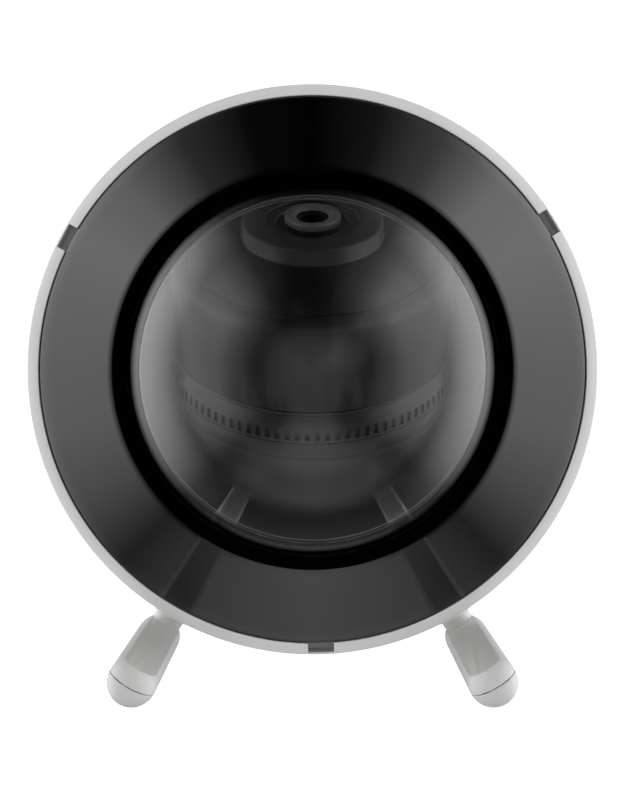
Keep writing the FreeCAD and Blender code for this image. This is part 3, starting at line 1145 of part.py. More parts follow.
def build_ball_shells():
    """Rear shell with its slot, knurled ring, barrel ring and front cover with its side cover."""
    inside = "(BallRadius - BallWall)"
    shell = turned("rear_shell_blank", [
        ("0", "-BallRadius", "BallRadius", 1),
        (on_circle("BallRadius", "BallSplit"), "-BallSplit"),
        (on_circle(inside, "BallSplit"), "-BallSplit", inside, -1),
        ("0", f"-{inside}")])
    margin = f"asin((StemThickness / 2 + StemClearance) / {inside})"
    # The slot is a sector that starts one margin short of straight behind the lens.
    slot = DOC.addObject("Part::Cylinder", "slot_sector")
    slot.Placement = FreeCAD.Placement(FreeCAD.Vector(), FreeCAD.Rotation(-Z_AXIS, 1))
    bind(slot, {"Radius": "BallRadius + 2 * ToolMargin",
                "Height": "StemWidth + 2 * StemClearance",
                "Angle": f"TiltMost * 1deg + 2 * {margin}", "Placement.Rotation.Angle": margin})
    slot_across = group("slot_across", [slot])
    slot_across.Placement = FreeCAD.Placement(FreeCAD.Vector(), FreeCAD.Rotation(Y_AXIS, 90))
    bind(slot_across, {"Placement.Base.x": "-StemWidth / 2 - StemClearance"})
    rear = into_ball(cut("ball_rear_shell", shell, slot_across))

    ribs = int(size("KnurlRibs"))
    tip = size("KnurlRadius")
    root = tip - size("KnurlDepth")
    corners = []
    for number in range(ribs):
        middle = 2 * math.pi * number / ribs
        quarter = math.pi / (2 * ribs)
        for radius, turn in ((root, -RIB_FOOT), (tip, -RIB_TIP), (tip, RIB_TIP),
                             (root, RIB_FOOT)):
            direction = middle + turn * quarter
            corners.append(FreeCAD.Vector(radius * math.cos(direction),
                                          radius * math.sin(direction), 0))
    knurl_shape = solid_from(corners, size("KnurlHeight"), size("FrameRadius"))
    rest = FreeCAD.Rotation(-X_AXIS, size("TiltRest"))
    middle_drop = rest.multVec(FreeCAD.Vector(0, 0, -size("KnurlHeight") / 2))
    knurled = feature("knurled_ring", knurl_shape, FreeCAD.Placement(
        FreeCAD.Vector(0, 0, size(CENTRE)) + middle_drop, rest))

    ring_top = "(SeamLevel - SeamGap)"
    barrel_ring = into_ball(turned("barrel_ring", [
        ("FrameRadius", "BallSplit"), (barrel_radius("BallSplit"), "BallSplit"),
        (barrel_radius(ring_top), ring_top), ("FrameRadius", ring_top)]))

    face_slope = "((LensBossFoot - FaceLevel) / (FaceRadius - LensBossRadius))"
    cover = turned("front_cover_blank", [
        (barrel_radius("SeamLevel"), "SeamLevel"),
        ("BarrelRim", "BarrelRimLevel"),
        ("FaceRadius", "FaceLevel"),
        ("LensBossRadius", "LensBossFoot"),
        ("LensBossRadius", "LensBossFoot - BarrelWall"),
        ("FaceRadius - BarrelWall", f"FaceLevel - BarrelWall * (1 - {face_slope})"),
        ("BarrelRim - BarrelWall", "BarrelRimLevel - BarrelWall / 2"),
        (f"{barrel_radius('SeamLevel')} - BarrelWall", "SeamLevel"),
    ])
    posts = []
    post_holes = []
    for number, (right, up) in enumerate(CORNERS, start=1):
        x = f"{right} * SensorPost"
        y = f"{up} * SensorPost"
        posts.append(rod(f"sensor_post_{number}", "SensorPostRadius",
                         "LensBossFoot - 1.5 * BarrelWall - SensorLevel", x, y, "SensorLevel"))
        post_holes.append(rod(f"sensor_post_hole_{number}", "ScrewRadius + ScrewClearance",
                              "ScrewGrip + ToolMargin", x, y, "SensorLevel - ToolMargin"))
    low_x = "(SideCoverOffset - SideCoverWidth / 2)"
    high_x = "(SideCoverOffset + SideCoverWidth / 2)"

    def tongue(name, grow):
        """The upright slab with a round end that holds the side cover."""
        end_radius = f"(SideCoverWidth / 2 + {grow})"
        slab = block(f"{name}_slab",
                     (f"{low_x} - {grow}", "-BarrelBase - ToolMargin",
                      f"SideCoverLevel - {grow}"),
                     (f"{high_x} + {grow}", "-SideCoverInner - SideCoverWidth / 2",
                      "LensBossTop"))
        end = rod(f"{name}_end", end_radius, f"LensBossTop - SideCoverLevel + {grow}",
                  "SideCoverOffset", "-SideCoverInner - SideCoverWidth / 2",
                  f"SideCoverLevel - {grow}")
        return joined(name, [slab, end])

    skin = cut("front_cover_open", joined("front_cover_posts", [cover] + posts),
               joined("front_cover_tools", [tongue("side_cover_opening", "SideCoverGap")]
                      + post_holes))
    front = into_ball(group("front_cover_holder", [skin]))
    front.Label = "ball_front_cover"
    side = into_ball(shared("side_cover", cover, tongue("side_cover_tongue", "0")))
    return [rear, knurled, barrel_ring, front, side]


def build_camera_module():
    """Lens boss, lens and sensor behind the front face of the ball."""
    step = "RecessStep"
    hub = "(LensRadius + LensClearance)"
    first_recess = f"(LensBossTop - {step})"
    second_recess = f"(LensBossTop - 2 * {step})"
    boss = into_ball(turned("lens_boss", [
        ("LensBossRadius", "LensBossFoot - BarrelWall"),
        ("LensBossRadius", "LensBossFoot"),
        ("LensBossTopRadius", "LensBossTop"),
        ("OuterRecessRadius", "LensBossTop"),
        ("OuterRecessRadius", first_recess),
        ("InnerRecessRadius", first_recess),
        ("InnerRecessRadius", second_recess),
        (hub, second_recess),
        (hub, f"{second_recess} - LensBossWall"),
        ("LensBossRadius - LensBossWall", f"{second_recess} - LensBossWall"),
        ("LensBossRadius - LensBossWall", "LensBossFoot - BarrelWall")]))
    barrel = into_ball(turned("lens_barrel", [
        ("LensThreadRadius", "LensBack"), ("LensThreadRadius", "LensShoulder"),
        ("LensRadius", "LensShoulder"), ("LensRadius", "LensTop - LensRingHeight"),
        ("LensGlassRadius", "LensTop - LensRingHeight"),
        ("LensGlassRadius", "LensGlassEdge - LensGlassDepth"),
        ("LensGlassRadius - LensSeat", "LensGlassEdge - LensGlassDepth"),
        ("LensThreadRadius - LensBackWall", "LensBack")]))
    lens_ring = into_ball(turned("lens_ring", [
        ("LensGlassRadius - GlassPlay / 2", "LensGlassEdge + GlassGap"),
        ("LensRadius", "LensTop - LensRingHeight + LensRingGap"),
        ("LensRadius", "LensTop - LensRingEdge"),
        ("LensRadius - LensRingEdge", "LensTop"),
        ("LensGlassRadius + LensRingEdge", "LensTop")]))
    glass_radius = "(LensGlassRadius - GlassPlay)"
    rise_radius = (f"((pow({glass_radius}; 2) + pow(LensGlassRise; 2))"
                   " / (2 * LensGlassRise))")
    glass = into_ball(turned("lens_glass", [
        ("0", "LensGlassEdge - LensGlassDepth"),
        (glass_radius, "LensGlassEdge - LensGlassDepth"),
        (glass_radius, "LensGlassEdge", rise_radius, 1),
        ("0", "LensGlassEdge + LensGlassRise")]))
    bore = "(LensThreadRadius + LensClearance)"
    holder = into_ball(turned("lens_holder", [
        ("HolderFoot", "SensorLevel"), ("HolderFoot", "SensorLevel + HolderFootHeight"),
        ("HolderRadius", "SensorLevel + HolderFootHeight"), ("HolderRadius", "HolderTop"),
        (bore, "HolderTop"), (bore, "SensorLevel + HolderFootHeight"),
        ("HolderRoom", "SensorLevel + HolderFootHeight"),
        ("HolderRoom", "SensorLevel")]))
    half = "SensorBoardSide / 2"
    slab = block("sensor_board_blank", (f"-{half}", f"-{half}", "SensorLevel - BoardThickness"),
                 (half, half, "SensorLevel"))
    holes = []
    pieces = []
    seat = "(SensorLevel - BoardThickness)"
    for number, (right, up) in enumerate(CORNERS, start=1):
        x = f"{right} * SensorPost"
        y = f"{up} * SensorPost"
        holes.append(rod(f"sensor_hole_{number}", "ScrewRadius + ScrewClearance",
                         "BoardThickness + 2 * ToolMargin", x, y, f"{seat} - ToolMargin"))
        head = rod(f"sensor_screw_head_{number}", "ScrewHeadRadius", "ScrewHead", x, y,
                   f"{seat} - ScrewHead")
        shank = rod(f"sensor_screw_shank_{number}", "ScrewRadius", "ScrewGrip", x, y, seat)
        pieces.append(joined(f"sensor_screw_{number}", [head, shank]))
    board = into_ball(cut("sensor_board", slab, joined("sensor_holes", holes)))
    half_chip = "SensorWidth / 2"
    chip = block("image_sensor_chip", (f"-{half_chip}", f"-{half_chip}", "SensorLevel"),
                 (half_chip, half_chip, "SensorLevel + SensorHeight"))
    sensor = into_ball(group("image_sensor", [chip]))
    sensor_screws = into_ball(group("sensor_screws", pieces))
    return [boss, barrel, lens_ring, glass, holder, board, sensor, sensor_screws]


def build_aerial(side, word):
    """One aerial: a pivot through the housing, a clip, two half shells and the element.

    It is drawn with the dome's axis at the origin, the pivot along +X and the aerial along +Z.
    """
    pivot_blank = cross_rod(f"{word}_pivot_shaft", "PivotRadius",
                            f"({CLIP_START} - PivotEnd)", NECK_START)
    neck = cross_rod(f"{word}_pivot_neck", "NeckRadius", NECK_START, NECK_END)
    root_end = f"({NECK_END} + PivotRootLength)"
    root = cross_rod(f"{word}_pivot_root", "PivotRootRadius", NECK_END, root_end)
    clip_end = f"({CLIP_START} + ClipThickness)"
    groove = cut(f"{word}_groove",
                 cross_rod(f"{word}_groove_outside", "PivotRadius + ToolMargin", CLIP_START,
                           clip_end),
                 cross_rod(f"{word}_groove_inside", "PivotRadius - ClipGroove", CLIP_START,
                           clip_end))
    pivot = cut(f"{word}_aerial_pivot", joined(f"{word}_pivot_solid", [pivot_blank, neck, root]),
                groove)
    clip = cut(f"{word}_pivot_clip",
               cross_rod(f"{word}_clip_disc", "ClipRadius", CLIP_START, clip_end),
               joined(f"{word}_clip_opening", [
                   cross_rod(f"{word}_clip_bore", "PivotRadius - ClipGroove", CLIP_START,
                             clip_end),
                   block(f"{word}_clip_mouth", (CLIP_START, "-ClipMouth",
                                                "-ClipRadius - ToolMargin"),
                         (clip_end, "ClipMouth", "0"))]))

    def capsule(name, radius):
        """A rod with round ends, along the aerial."""
        body = turned(name, [
            ("0", f"-{radius}", radius, 1), (radius, "0"), (radius, "AerialLength", radius, 1),
            ("0", f"AerialLength + {radius}")])
        return bind(body, {"Placement.Base.x": "AerialOffset"})

    outside = capsule(f"{word}_outside", "AerialRadius")
    hollow = capsule(f"{word}_hollow", "(AerialRadius - AerialWall)")
    far = "(AerialLength + 2 * AerialRadius)"
    inner_corner = ("AerialOffset - 2 * AerialRadius", "-2 * AerialRadius", f"-{far}")
    flat = block(f"{word}_flat", inner_corner, (NECK_END, "2 * AerialRadius", far))
    flat_wall = block(f"{word}_flat_wall", inner_corner,
                      (f"{NECK_END} + AerialWall", "2 * AerialRadius", far))
    room = cut(f"{word}_room", hollow, flat_wall)
    socket = cross_rod(f"{word}_socket", "PivotRootRadius + AerialWall", NECK_END,
                       f"{root_end} + AerialWall")
    socket_bore = cross_rod(f"{word}_socket_bore", "PivotRootRadius",
                            f"{NECK_END} - ToolMargin", root_end)
    hollow_shell = cut(f"{word}_hollow_shell", outside, joined(f"{word}_inside", [flat, room]))
    inner_side = block(f"{word}_inner_side", inner_corner,
                       ("AerialOffset - AerialSeam / 2", "2 * AerialRadius", far))
    outer_side = block(f"{word}_outer_side",
                       ("AerialOffset + AerialSeam / 2", "-2 * AerialRadius", f"-{far}"),
                       ("AerialOffset + 2 * AerialRadius", "2 * AerialRadius", far))
    inner_wall = shared(f"{word}_inner_wall", hollow_shell, inner_side)
    inner_socket = shared(f"{word}_inner_socket", socket, inner_side)
    inner = cut(f"{word}_aerial_inner_shell",
                joined(f"{word}_inner_solid", [inner_wall, inner_socket]), socket_bore)
    outer = shared(f"{word}_aerial_outer_shell", hollow_shell, outer_side)
    element = block(f"{word}_element_blank",
                    ("AerialOffset - ElementThickness / 2", "-ElementWidth / 2",
                     "PivotRootRadius + AerialWall + ElementGap"),
                    ("AerialOffset + ElementThickness / 2", "ElementWidth / 2",
                     "AerialLength + AerialRadius - AerialWall - ElementTop"))
    strip = group(f"{word}_aerial_element", [element])
    return [at_aerial(piece, side) for piece in (pivot, clip, inner, outer, strip)]


def main():
    """Build every piece, check it and write it out."""
    pieces = build_plate() + build_housing() + build_housing_fittings() + build_bezel()
    pieces += build_dome() + build_liner() + build_electronics() + build_pan_base()
    pieces += build_bearing() + build_turntable() + build_pan_pinion() + build_yoke()
    pieces += build_tilt_pinion() + build_tilt_frame() + build_ball_shells()
    pieces += build_camera_module()
    for side, word in ((-1, "left"), (1, "right")):
        pieces += build_aerial(side, word)
    DOC.recompute()
    for item in DOC.Objects:
        if "Invalid" in item.State or "Error" in item.State:
            raise RuntimeError(f"{item.Name} failed: {item.State}")
    os.makedirs("parts", exist_ok=True)
    for piece in pieces:
        shape = piece.Shape
        if shape.isNull() or not shape.isValid() or not shape.Solids:
            raise RuntimeError(f"{piece.Label} has no sound shape")
        shape.exportStep(os.path.join("parts", f"{piece.Label}.step"))
        print(f"{piece.Label}: {len(shape.Solids)} solid, {shape.Volume:.1f} mm3")
    print(len(pieces), "pieces")


main()
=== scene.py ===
# %% [markdown]
# # A dome security camera, dressed for its portrait
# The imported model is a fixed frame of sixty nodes: every gear, screw and shell is where it belongs.
# This notebook keeps that frame, gives each node a finish, and models again what the eye rests on:
# the black bezel, the smoked dome, the tilting ball, the lens, the pale pot and the two aerials.

# %% Load the frame
import json
import math

import bpy
from mathutils import Matrix, Vector


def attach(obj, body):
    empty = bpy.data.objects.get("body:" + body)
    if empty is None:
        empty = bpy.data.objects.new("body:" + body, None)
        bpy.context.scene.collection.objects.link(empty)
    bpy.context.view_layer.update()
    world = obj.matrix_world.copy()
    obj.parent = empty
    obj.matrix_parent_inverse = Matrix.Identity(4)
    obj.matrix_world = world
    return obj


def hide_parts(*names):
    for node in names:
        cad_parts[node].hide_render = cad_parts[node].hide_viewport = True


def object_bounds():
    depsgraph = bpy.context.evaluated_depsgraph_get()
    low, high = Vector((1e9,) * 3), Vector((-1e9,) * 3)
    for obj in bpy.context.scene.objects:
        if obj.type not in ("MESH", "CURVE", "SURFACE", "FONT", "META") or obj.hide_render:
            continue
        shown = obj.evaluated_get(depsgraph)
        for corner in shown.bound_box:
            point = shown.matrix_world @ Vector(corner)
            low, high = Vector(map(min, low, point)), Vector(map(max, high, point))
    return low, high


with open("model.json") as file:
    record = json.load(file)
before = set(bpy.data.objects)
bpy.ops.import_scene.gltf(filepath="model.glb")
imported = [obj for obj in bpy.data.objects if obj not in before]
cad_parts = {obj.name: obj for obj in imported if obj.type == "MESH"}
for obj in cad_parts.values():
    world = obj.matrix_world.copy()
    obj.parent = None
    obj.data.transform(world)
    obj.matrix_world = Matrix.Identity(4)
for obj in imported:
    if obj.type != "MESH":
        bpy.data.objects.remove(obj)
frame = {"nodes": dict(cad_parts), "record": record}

for leftover in ("Cube", "Light", "Camera"):
    if leftover in bpy.data.objects:
        bpy.data.objects.remove(bpy.data.objects[leftover])
cad_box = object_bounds()
nodes = frame["nodes"]
rounded_box = [tuple(round(value, 4) for value in corner) for corner in cad_box]
print("nodes", len(nodes), "box", rounded_box)

# %% [markdown]
# The camera looks straight down the dome's axis, as the photographer did.
# The rim is 59 mm above the wall and fills 570 of the 794 pixels, which fixes distance and lens.
# A small shift keeps the rings round while the object sits above the middle of the picture.

# %% Set the camera
MM = 0.001
RIM = 59.0
CENTRE = 62.0
CAMERA_HEIGHT = 376.0
LENS = 54.96
PICTURE_SHIFT = -0.0349
camera_data = bpy.data.cameras.new("portrait_camera")
camera = bpy.data.objects.new("portrait_camera", camera_data)
bpy.context.scene.collection.objects.link(camera)
camera.location = (0.0, 0.0, CAMERA_HEIGHT * MM)
camera_data.lens = LENS
camera_data.sensor_width = 36.0
camera_data.shift_y = PICTURE_SHIFT
camera_data.clip_start = 0.01
bpy.context.scene.camera = camera
print("camera", CAMERA_HEIGHT, "mm above the wall")

# %% [markdown]
# Nearly every shell here is round, so one helper turns a profile as on a lathe.
# It starts from one point, draws the profile by extruding it from mark to mark, and spins it
# about Z. A profile that comes back to its start makes a closed wall, with an outside and an inside
# that face opposite ways, and the glass needs that: with a wall turned round, the dome would act as
# a solid ball. Profiles are pairs of radius and height in millimetres.
# What repeats is modelled once, and another helper copies it to each of its places.

# %% Helpers for modelling
ROUND = 144
WELD = 0.002


def only(piece):
    """Select one object alone and make it active."""
    bpy.ops.object.select_all(action="DESELECT")
    piece.select_set(True)
    bpy.context.view_layer.objects.active = piece
    return piece


def edit(piece):
    """Open one object in edit mode with all of it selected."""
    only(piece)
    bpy.ops.object.mode_set(mode="EDIT")
    bpy.ops.mesh.select_all(action="SELECT")


def close_up(piece):
    """Merge doubled points, clear loose edges and turn the faces outwards."""
    bpy.ops.mesh.select_all(action="SELECT")
    bpy.ops.mesh.remove_doubles(threshold=WELD * MM)
    bpy.ops.mesh.delete_loose(use_verts=True, use_edges=True, use_faces=False)
    bpy.ops.mesh.select_all(action="SELECT")
    bpy.ops.mesh.normals_make_consistent(inside=False)
    bpy.ops.object.mode_set(mode="OBJECT")
    return piece


def turned(name, rings, steps=ROUND, closed=True):
    """A shell turned about Z from (radius, height) pairs."""
    bpy.ops.object.select_all(action="DESELECT")
    radius, height = rings[0]
    bpy.ops.mesh.primitive_plane_add(size=MM, location=(radius * MM, 0, height * MM))
    piece = bpy.context.object
    piece.name = name
    bpy.ops.object.transform_apply(location=True)
    edit(piece)
    bpy.ops.mesh.merge(type="CENTER")
    for next_radius, next_height in list(rings[1:]) + ([rings[0]] if closed else []):
        move = ((next_radius - radius) * MM, 0, (next_height - height) * MM)
        bpy.ops.mesh.extrude_region_move(TRANSFORM_OT_translate={"value": move})
        radius, height = next_radius, next_height
    bpy.ops.mesh.select_all(action="SELECT")
    bpy.ops.mesh.spin(steps=steps, angle=2 * math.pi, center=(0, 0, 0), axis=(0, 0, 1))
    return close_up(piece)


def arc(middle_radius, middle_height, bend, start, end, count=8):
    """Points of an arc in a profile; angles are degrees from the outward direction."""
    points = []
    for step in range(count + 1):
        angle = math.radians(start + (end - start) * step / count)
        points.append((middle_radius + bend * math.cos(angle),
                       middle_height + bend * math.sin(angle)))
    return points


def soften(piece, width=0.2, segments=3, limit=35.0):
    """Round the sharp edges with an applied bevel, and shade what is left smooth."""
    only(piece)
    bpy.ops.object.modifier_add(type="BEVEL")
    bevel = piece.modifiers[-1]
    bevel.width = width * MM
    bevel.segments = segments
    bevel.limit_method = "ANGLE"
    bevel.angle_limit = math.radians(limit)
    bpy.ops.object.modifier_apply(modifier=bevel.name)
    return smooth(piece)


def smooth(piece, limit=30.0):
    """Smooth shading with creases where faces meet at a larger angle."""
    only(piece)
    bpy.ops.object.shade_smooth_by_angle(angle=math.radians(limit))
    return piece


def carve(piece, tool, operation="DIFFERENCE"):
    """Cut a piece with a tool, or join the two, and delete the tool."""
    only(piece)
    bpy.ops.object.modifier_add(type="BOOLEAN")
    knife = piece.modifiers[-1]
    knife.operation = operation
    knife.solver = "EXACT"
    knife.object = tool
    bpy.ops.object.modifier_apply(modifier=knife.name)
    bpy.data.objects.remove(tool)
    return piece


def slab(name, low, high):
    """A box between two corners in millimetres."""
    bpy.ops.object.select_all(action="DESELECT")
    middle = [(a + b) / 2 * MM for a, b in zip(low, high)]
    bpy.ops.mesh.primitive_cube_add(size=1, location=middle)
    piece = bpy.context.object
    piece.name = name
    piece.scale = [(b - a) * MM for a, b in zip(low, high)]
    bpy.ops.object.transform_apply(location=True, rotation=True, scale=True)
    return piece


def roller(name, radius, low, high, steps=64):
    """A cylinder along Z between two heights in millimetres."""
    bpy.ops.object.select_all(action="DESELECT")
    bpy.ops.mesh.primitive_cylinder_add(vertices=steps, radius=radius * MM,
                                        depth=(high - low) * MM,
                                        location=(0, 0, (low + high) / 2 * MM))
    piece = bpy.context.object
    piece.name = name
    bpy.ops.object.transform_apply(location=True)
    return piece


def put(piece, matrix):
    """Move a mesh by a matrix and keep its object at the origin."""
    piece.data.transform(matrix)
    piece.data.update()
    return piece


def shift(x, y, z):
    """A move in millimetres."""
    return Matrix.Translation(Vector((x, y, z)) * MM)


def turn(degrees, axis):
    """A turn about an axis through the origin."""
    return Matrix.Rotation(math.radians(degrees), 4, axis)


def spot(radius, degrees):
    """A move to a place on a circle round the dome's axis."""
    angle = math.radians(degrees)
    return shift(radius * math.cos(angle), radius * math.sin(angle), 0)


def copy_of(piece, name, matrix):
    """A copy with its own mesh, moved by a matrix."""
    twin = bpy.data.objects.new(name, piece.data.copy())
    bpy.context.scene.collection.objects.link(twin)
    return put(twin, matrix)


def repeated(piece, places):
    """A copy of the piece at each place; the pattern itself goes."""
    copies = [copy_of(piece, piece.name, place) for place in places]
    bpy.data.objects.remove(piece)
    return copies


def merged(name, pieces):
    """Join pieces into the first one."""
    bpy.ops.object.select_all(action="DESELECT")
    for piece in pieces:
        piece.select_set(True)
    bpy.context.view_layer.objects.active = pieces[0]
    bpy.ops.object.join()
    pieces[0].name = name
    return pieces[0]


print("helpers ready")

# %% [markdown]
# A finish is more than a colour. Two effects are shared by many finishes, so each is a node group.
# The first is the fine grain of a moulded surface, with slow drifts of tone and a little dust.
# The second is the hair-fine scratches that polished plastic and plated steel collect.

# %% Shared effects
GRAIN_SCALE = 2600.0
SPECK_SCALE = 420.0
SPECK_SIZE = 0.055
DUSTY_ABOVE = 0.56
SCRATCH_TURNS = (25.0, -50.0)
SCRATCH_STRETCH = 24.0
SCRATCH_ABOVE = 0.68


def group_socket(group, name, direction, value=0.0):
    """Add a number socket to a node group."""
    socket = group.interface.new_socket(name=name, in_out=direction,
                                        socket_type="NodeSocketFloat")
    socket.default_value = value


def add(tree, kind, **settings):
    """Add a node with its settings."""
    made = tree.nodes.new(kind)
    for key, value in settings.items():
        setattr(made, key, value)
    return made


def noise(tree, vector, scale_socket, detail, roughness):
    """Noise on object coordinates, with its scale from a socket."""
    made = add(tree, "ShaderNodeTexNoise")
    made.inputs["Detail"].default_value = detail
    made.inputs["Roughness"].default_value = roughness
    tree.links.new(vector, made.inputs["Vector"])
    tree.links.new(scale_socket, made.inputs["Scale"])
    return made.outputs["Fac"]


def combine(tree, operation, first, second):
    """A math node of two inputs, each a socket or a number."""
    made = add(tree, "ShaderNodeMath", operation=operation)
    for socket, value in zip(made.inputs, (first, second)):
        if isinstance(value, (int, float)):
            socket.default_value = value
        else:
            tree.links.new(value, socket)
    return made.outputs[0]


def moulded_grain():
    """Grain height, tone drift and dust mask of a moulded surface."""
    group = bpy.data.node_groups.new("moulded_grain", "ShaderNodeTree")
    group_socket(group, "Grain scale", "INPUT", value=GRAIN_SCALE)
    group_socket(group, "Drift scale", "INPUT", value=55.0)
    for name in ("Grain", "Drift", "Dust"):
        group_socket(group, name, "OUTPUT")
    entry = add(group, "NodeGroupInput")
    leave = add(group, "NodeGroupOutput")
    place = add(group, "ShaderNodeTexCoord").outputs["Object"]
    grain = noise(group, place, entry.outputs["Grain scale"], 4.0, 0.6)
    drift = noise(group, place, entry.outputs["Drift scale"], 2.0, 0.5)
    specks = add(group, "ShaderNodeTexVoronoi", feature="F1")
    specks.inputs["Scale"].default_value = SPECK_SCALE
    specks.inputs["Randomness"].default_value = 1.0
    group.links.new(place, specks.inputs["Vector"])
    tiny = combine(group, "LESS_THAN", specks.outputs["Distance"], SPECK_SIZE)
    patchy = combine(group, "GREATER_THAN", drift, DUSTY_ABOVE)
    group.links.new(grain, leave.inputs["Grain"])
    group.links.new(drift, leave.inputs["Drift"])
    group.links.new(combine(group, "MULTIPLY", tiny, patchy), leave.inputs["Dust"])
    return group


def fine_scratches():
    """Height of hair-fine scratches that run in two crossed directions."""
    group = bpy.data.node_groups.new("fine_scratches", "ShaderNodeTree")
    group_socket(group, "Scale", "INPUT", value=140.0)
    group_socket(group, "Scratches", "OUTPUT")
    entry = add(group, "NodeGroupInput")
    leave = add(group, "NodeGroupOutput")
    place = add(group, "ShaderNodeTexCoord").outputs["Object"]
    found = []
    for angle in SCRATCH_TURNS:
        mapping = add(group, "ShaderNodeMapping")
        mapping.inputs["Rotation"].default_value = (0.3, 0.2, math.radians(angle))
        mapping.inputs["Scale"].default_value = (1.0, SCRATCH_STRETCH, 1.0)
        group.links.new(place, mapping.inputs["Vector"])
        lines = noise(group, mapping.outputs["Vector"], entry.outputs["Scale"], 2.0, 0.5)
        found.append(combine(group, "GREATER_THAN", lines, SCRATCH_ABOVE))
    group.links.new(combine(group, "MAXIMUM", found[0], found[1]), leave.inputs["Scratches"])
    return group


GRAIN = moulded_grain()
SCRATCHES = fine_scratches()
print("groups", GRAIN.name, SCRATCHES.name)

# %% [markdown]
# One function builds each opaque finish from the same few dials: two near tones that drift into
# each other, a grain with its depth, and a roughness that follows the drift.
# Every material still has its own Principled shader, with its own colour and values.

# %% Finishes for plastic, rubber and metal
DUST_TONE = (0.55, 0.54, 0.52, 1.0)
SCRATCH_DEPTH = 0.4
SCRATCH_ROUGHNESS = 0.5


def finish(name, tone, second_tone=None, *, rough, rough_drift=0.08, grain,
           grain_scale=GRAIN_SCALE, metal=0.0, dust=0.0, scratches=0.0, ior=1.5):
    """An opaque finish with drift, grain, dust and scratches."""
    material = bpy.data.materials.new(name)
    material.use_nodes = True
    tree = material.node_tree
    shader = tree.nodes["Principled BSDF"]
    surface = add(tree, "ShaderNodeGroup", node_tree=GRAIN)
    surface.inputs["Grain scale"].default_value = grain_scale
    second_tone = second_tone or [channel * 0.86 for channel in tone]
    mix = add(tree, "ShaderNodeMix", data_type="RGBA")
    mix.inputs[6].default_value = (*tone, 1.0)
    mix.inputs[7].default_value = (*second_tone, 1.0)
    tree.links.new(surface.outputs["Drift"], mix.inputs[0])
    colour = mix.outputs[2]
    if dust:
        powder = add(tree, "ShaderNodeMix", data_type="RGBA")
        powder.inputs[7].default_value = DUST_TONE
        tree.links.new(combine(tree, "MULTIPLY", surface.outputs["Dust"], dust), powder.inputs[0])
        tree.links.new(colour, powder.inputs[6])
        colour = powder.outputs[2]
    tree.links.new(colour, shader.inputs["Base Color"])
    height = combine(tree, "MULTIPLY", surface.outputs["Grain"], grain)
    rough_range = add(tree, "ShaderNodeMapRange")
    rough_range.inputs["From Min"].default_value = 0.3
    rough_range.inputs["From Max"].default_value = 0.7
    rough_range.inputs["To Min"].default_value = max(rough - rough_drift, 0.02)
    rough_range.inputs["To Max"].default_value = rough + rough_drift
    tree.links.new(surface.outputs["Drift"], rough_range.inputs["Value"])
    roughness = rough_range.outputs["Result"]
    if scratches:
        hair = add(tree, "ShaderNodeGroup", node_tree=SCRATCHES)
        worn = combine(tree, "MULTIPLY", hair.outputs["Scratches"], scratches)
        depth = combine(tree, "MULTIPLY", worn, SCRATCH_DEPTH)
        height = combine(tree, "SUBTRACT", height, depth)
        rougher = combine(tree, "MULTIPLY", worn, SCRATCH_ROUGHNESS)
        roughness = combine(tree, "ADD", roughness, rougher)
    tree.links.new(roughness, shader.inputs["Roughness"])
    bump = add(tree, "ShaderNodeBump")
    bump.inputs["Strength"].default_value = 0.35
    bump.inputs["Distance"].default_value = 0.0002
    tree.links.new(height, bump.inputs["Height"])
    tree.links.new(bump.outputs["Normal"], shader.inputs["Normal"])
    shader.inputs["Metallic"].default_value = metal
    shader.inputs["IOR"].default_value = ior
    return material


white_housing = finish("white_satin_plastic", (0.80, 0.80, 0.79), (0.77, 0.77, 0.76), rough=0.42,
                       grain=0.25, grain_scale=3800.0, dust=0.15)
white_aerial = finish("white_aerial_plastic", (0.70, 0.70, 0.69), (0.66, 0.66, 0.65), rough=0.40,
                      grain=0.30, grain_scale=3400.0, dust=0.15)
black_gloss = finish("black_gloss_plastic", (0.0012, 0.0012, 0.0013), rough=0.05, rough_drift=0.015,
                     grain=0.01, scratches=0.05, ior=1.6)
black_ball = finish("black_ball_plastic", (0.004, 0.004, 0.0043), rough=0.31, rough_drift=0.02,
                    grain=0.006, ior=1.52)
black_satin = finish("black_satin_plastic", (0.008, 0.008, 0.008), rough=0.36, grain=0.1,
                     grain_scale=3000.0)
black_deep = finish("black_works_plastic", (0.02, 0.02, 0.021), rough=0.55, grain=0.35)
grey_liner = finish("grey_liner_plastic", (0.22, 0.22, 0.22), (0.19, 0.19, 0.19), rough=0.5,
                    grain=0.2)
black_rubber = finish("black_rubber", (0.018, 0.018, 0.018), (0.03, 0.03, 0.029), rough=0.75,
                      grain=0.6, grain_scale=1800.0, dust=0.4)
zinc = finish("zinc_plate", (0.58, 0.59, 0.60), (0.47, 0.48, 0.50), rough=0.38, rough_drift=0.12,
              grain=0.2, metal=1.0, scratches=0.25)
screw_zinc = finish("screw_zinc", (0.52, 0.53, 0.55), (0.40, 0.41, 0.43), rough=0.3, grain=0.15,
                    metal=1.0, scratches=0.2)
ground_steel = finish("ground_steel", (0.62, 0.62, 0.63), rough=0.15, rough_drift=0.05, grain=0.04,
                      metal=1.0, scratches=0.1)
gear_white = finish("gear_acetal", (0.76, 0.75, 0.70), (0.70, 0.69, 0.64), rough=0.42, grain=0.2)
bronze = finish("sintered_bronze", (0.50, 0.31, 0.13), (0.38, 0.23, 0.10), rough=0.4, grain=0.8,
                grain_scale=5200.0, metal=1.0)
lens_black = finish("lens_black_anodised", (0.012, 0.012, 0.013), rough=0.28, grain=0.3, metal=0.6)
lens_metal = finish("lens_ring_anodised", (0.10, 0.10, 0.103), (0.09, 0.09, 0.092), rough=0.34,
                    grain=0.1, metal=0.3)
green_terminal = finish("terminal_green", (0.03, 0.22, 0.07), rough=0.4, grain=0.2)
print("finishes", len(bpy.data.materials))

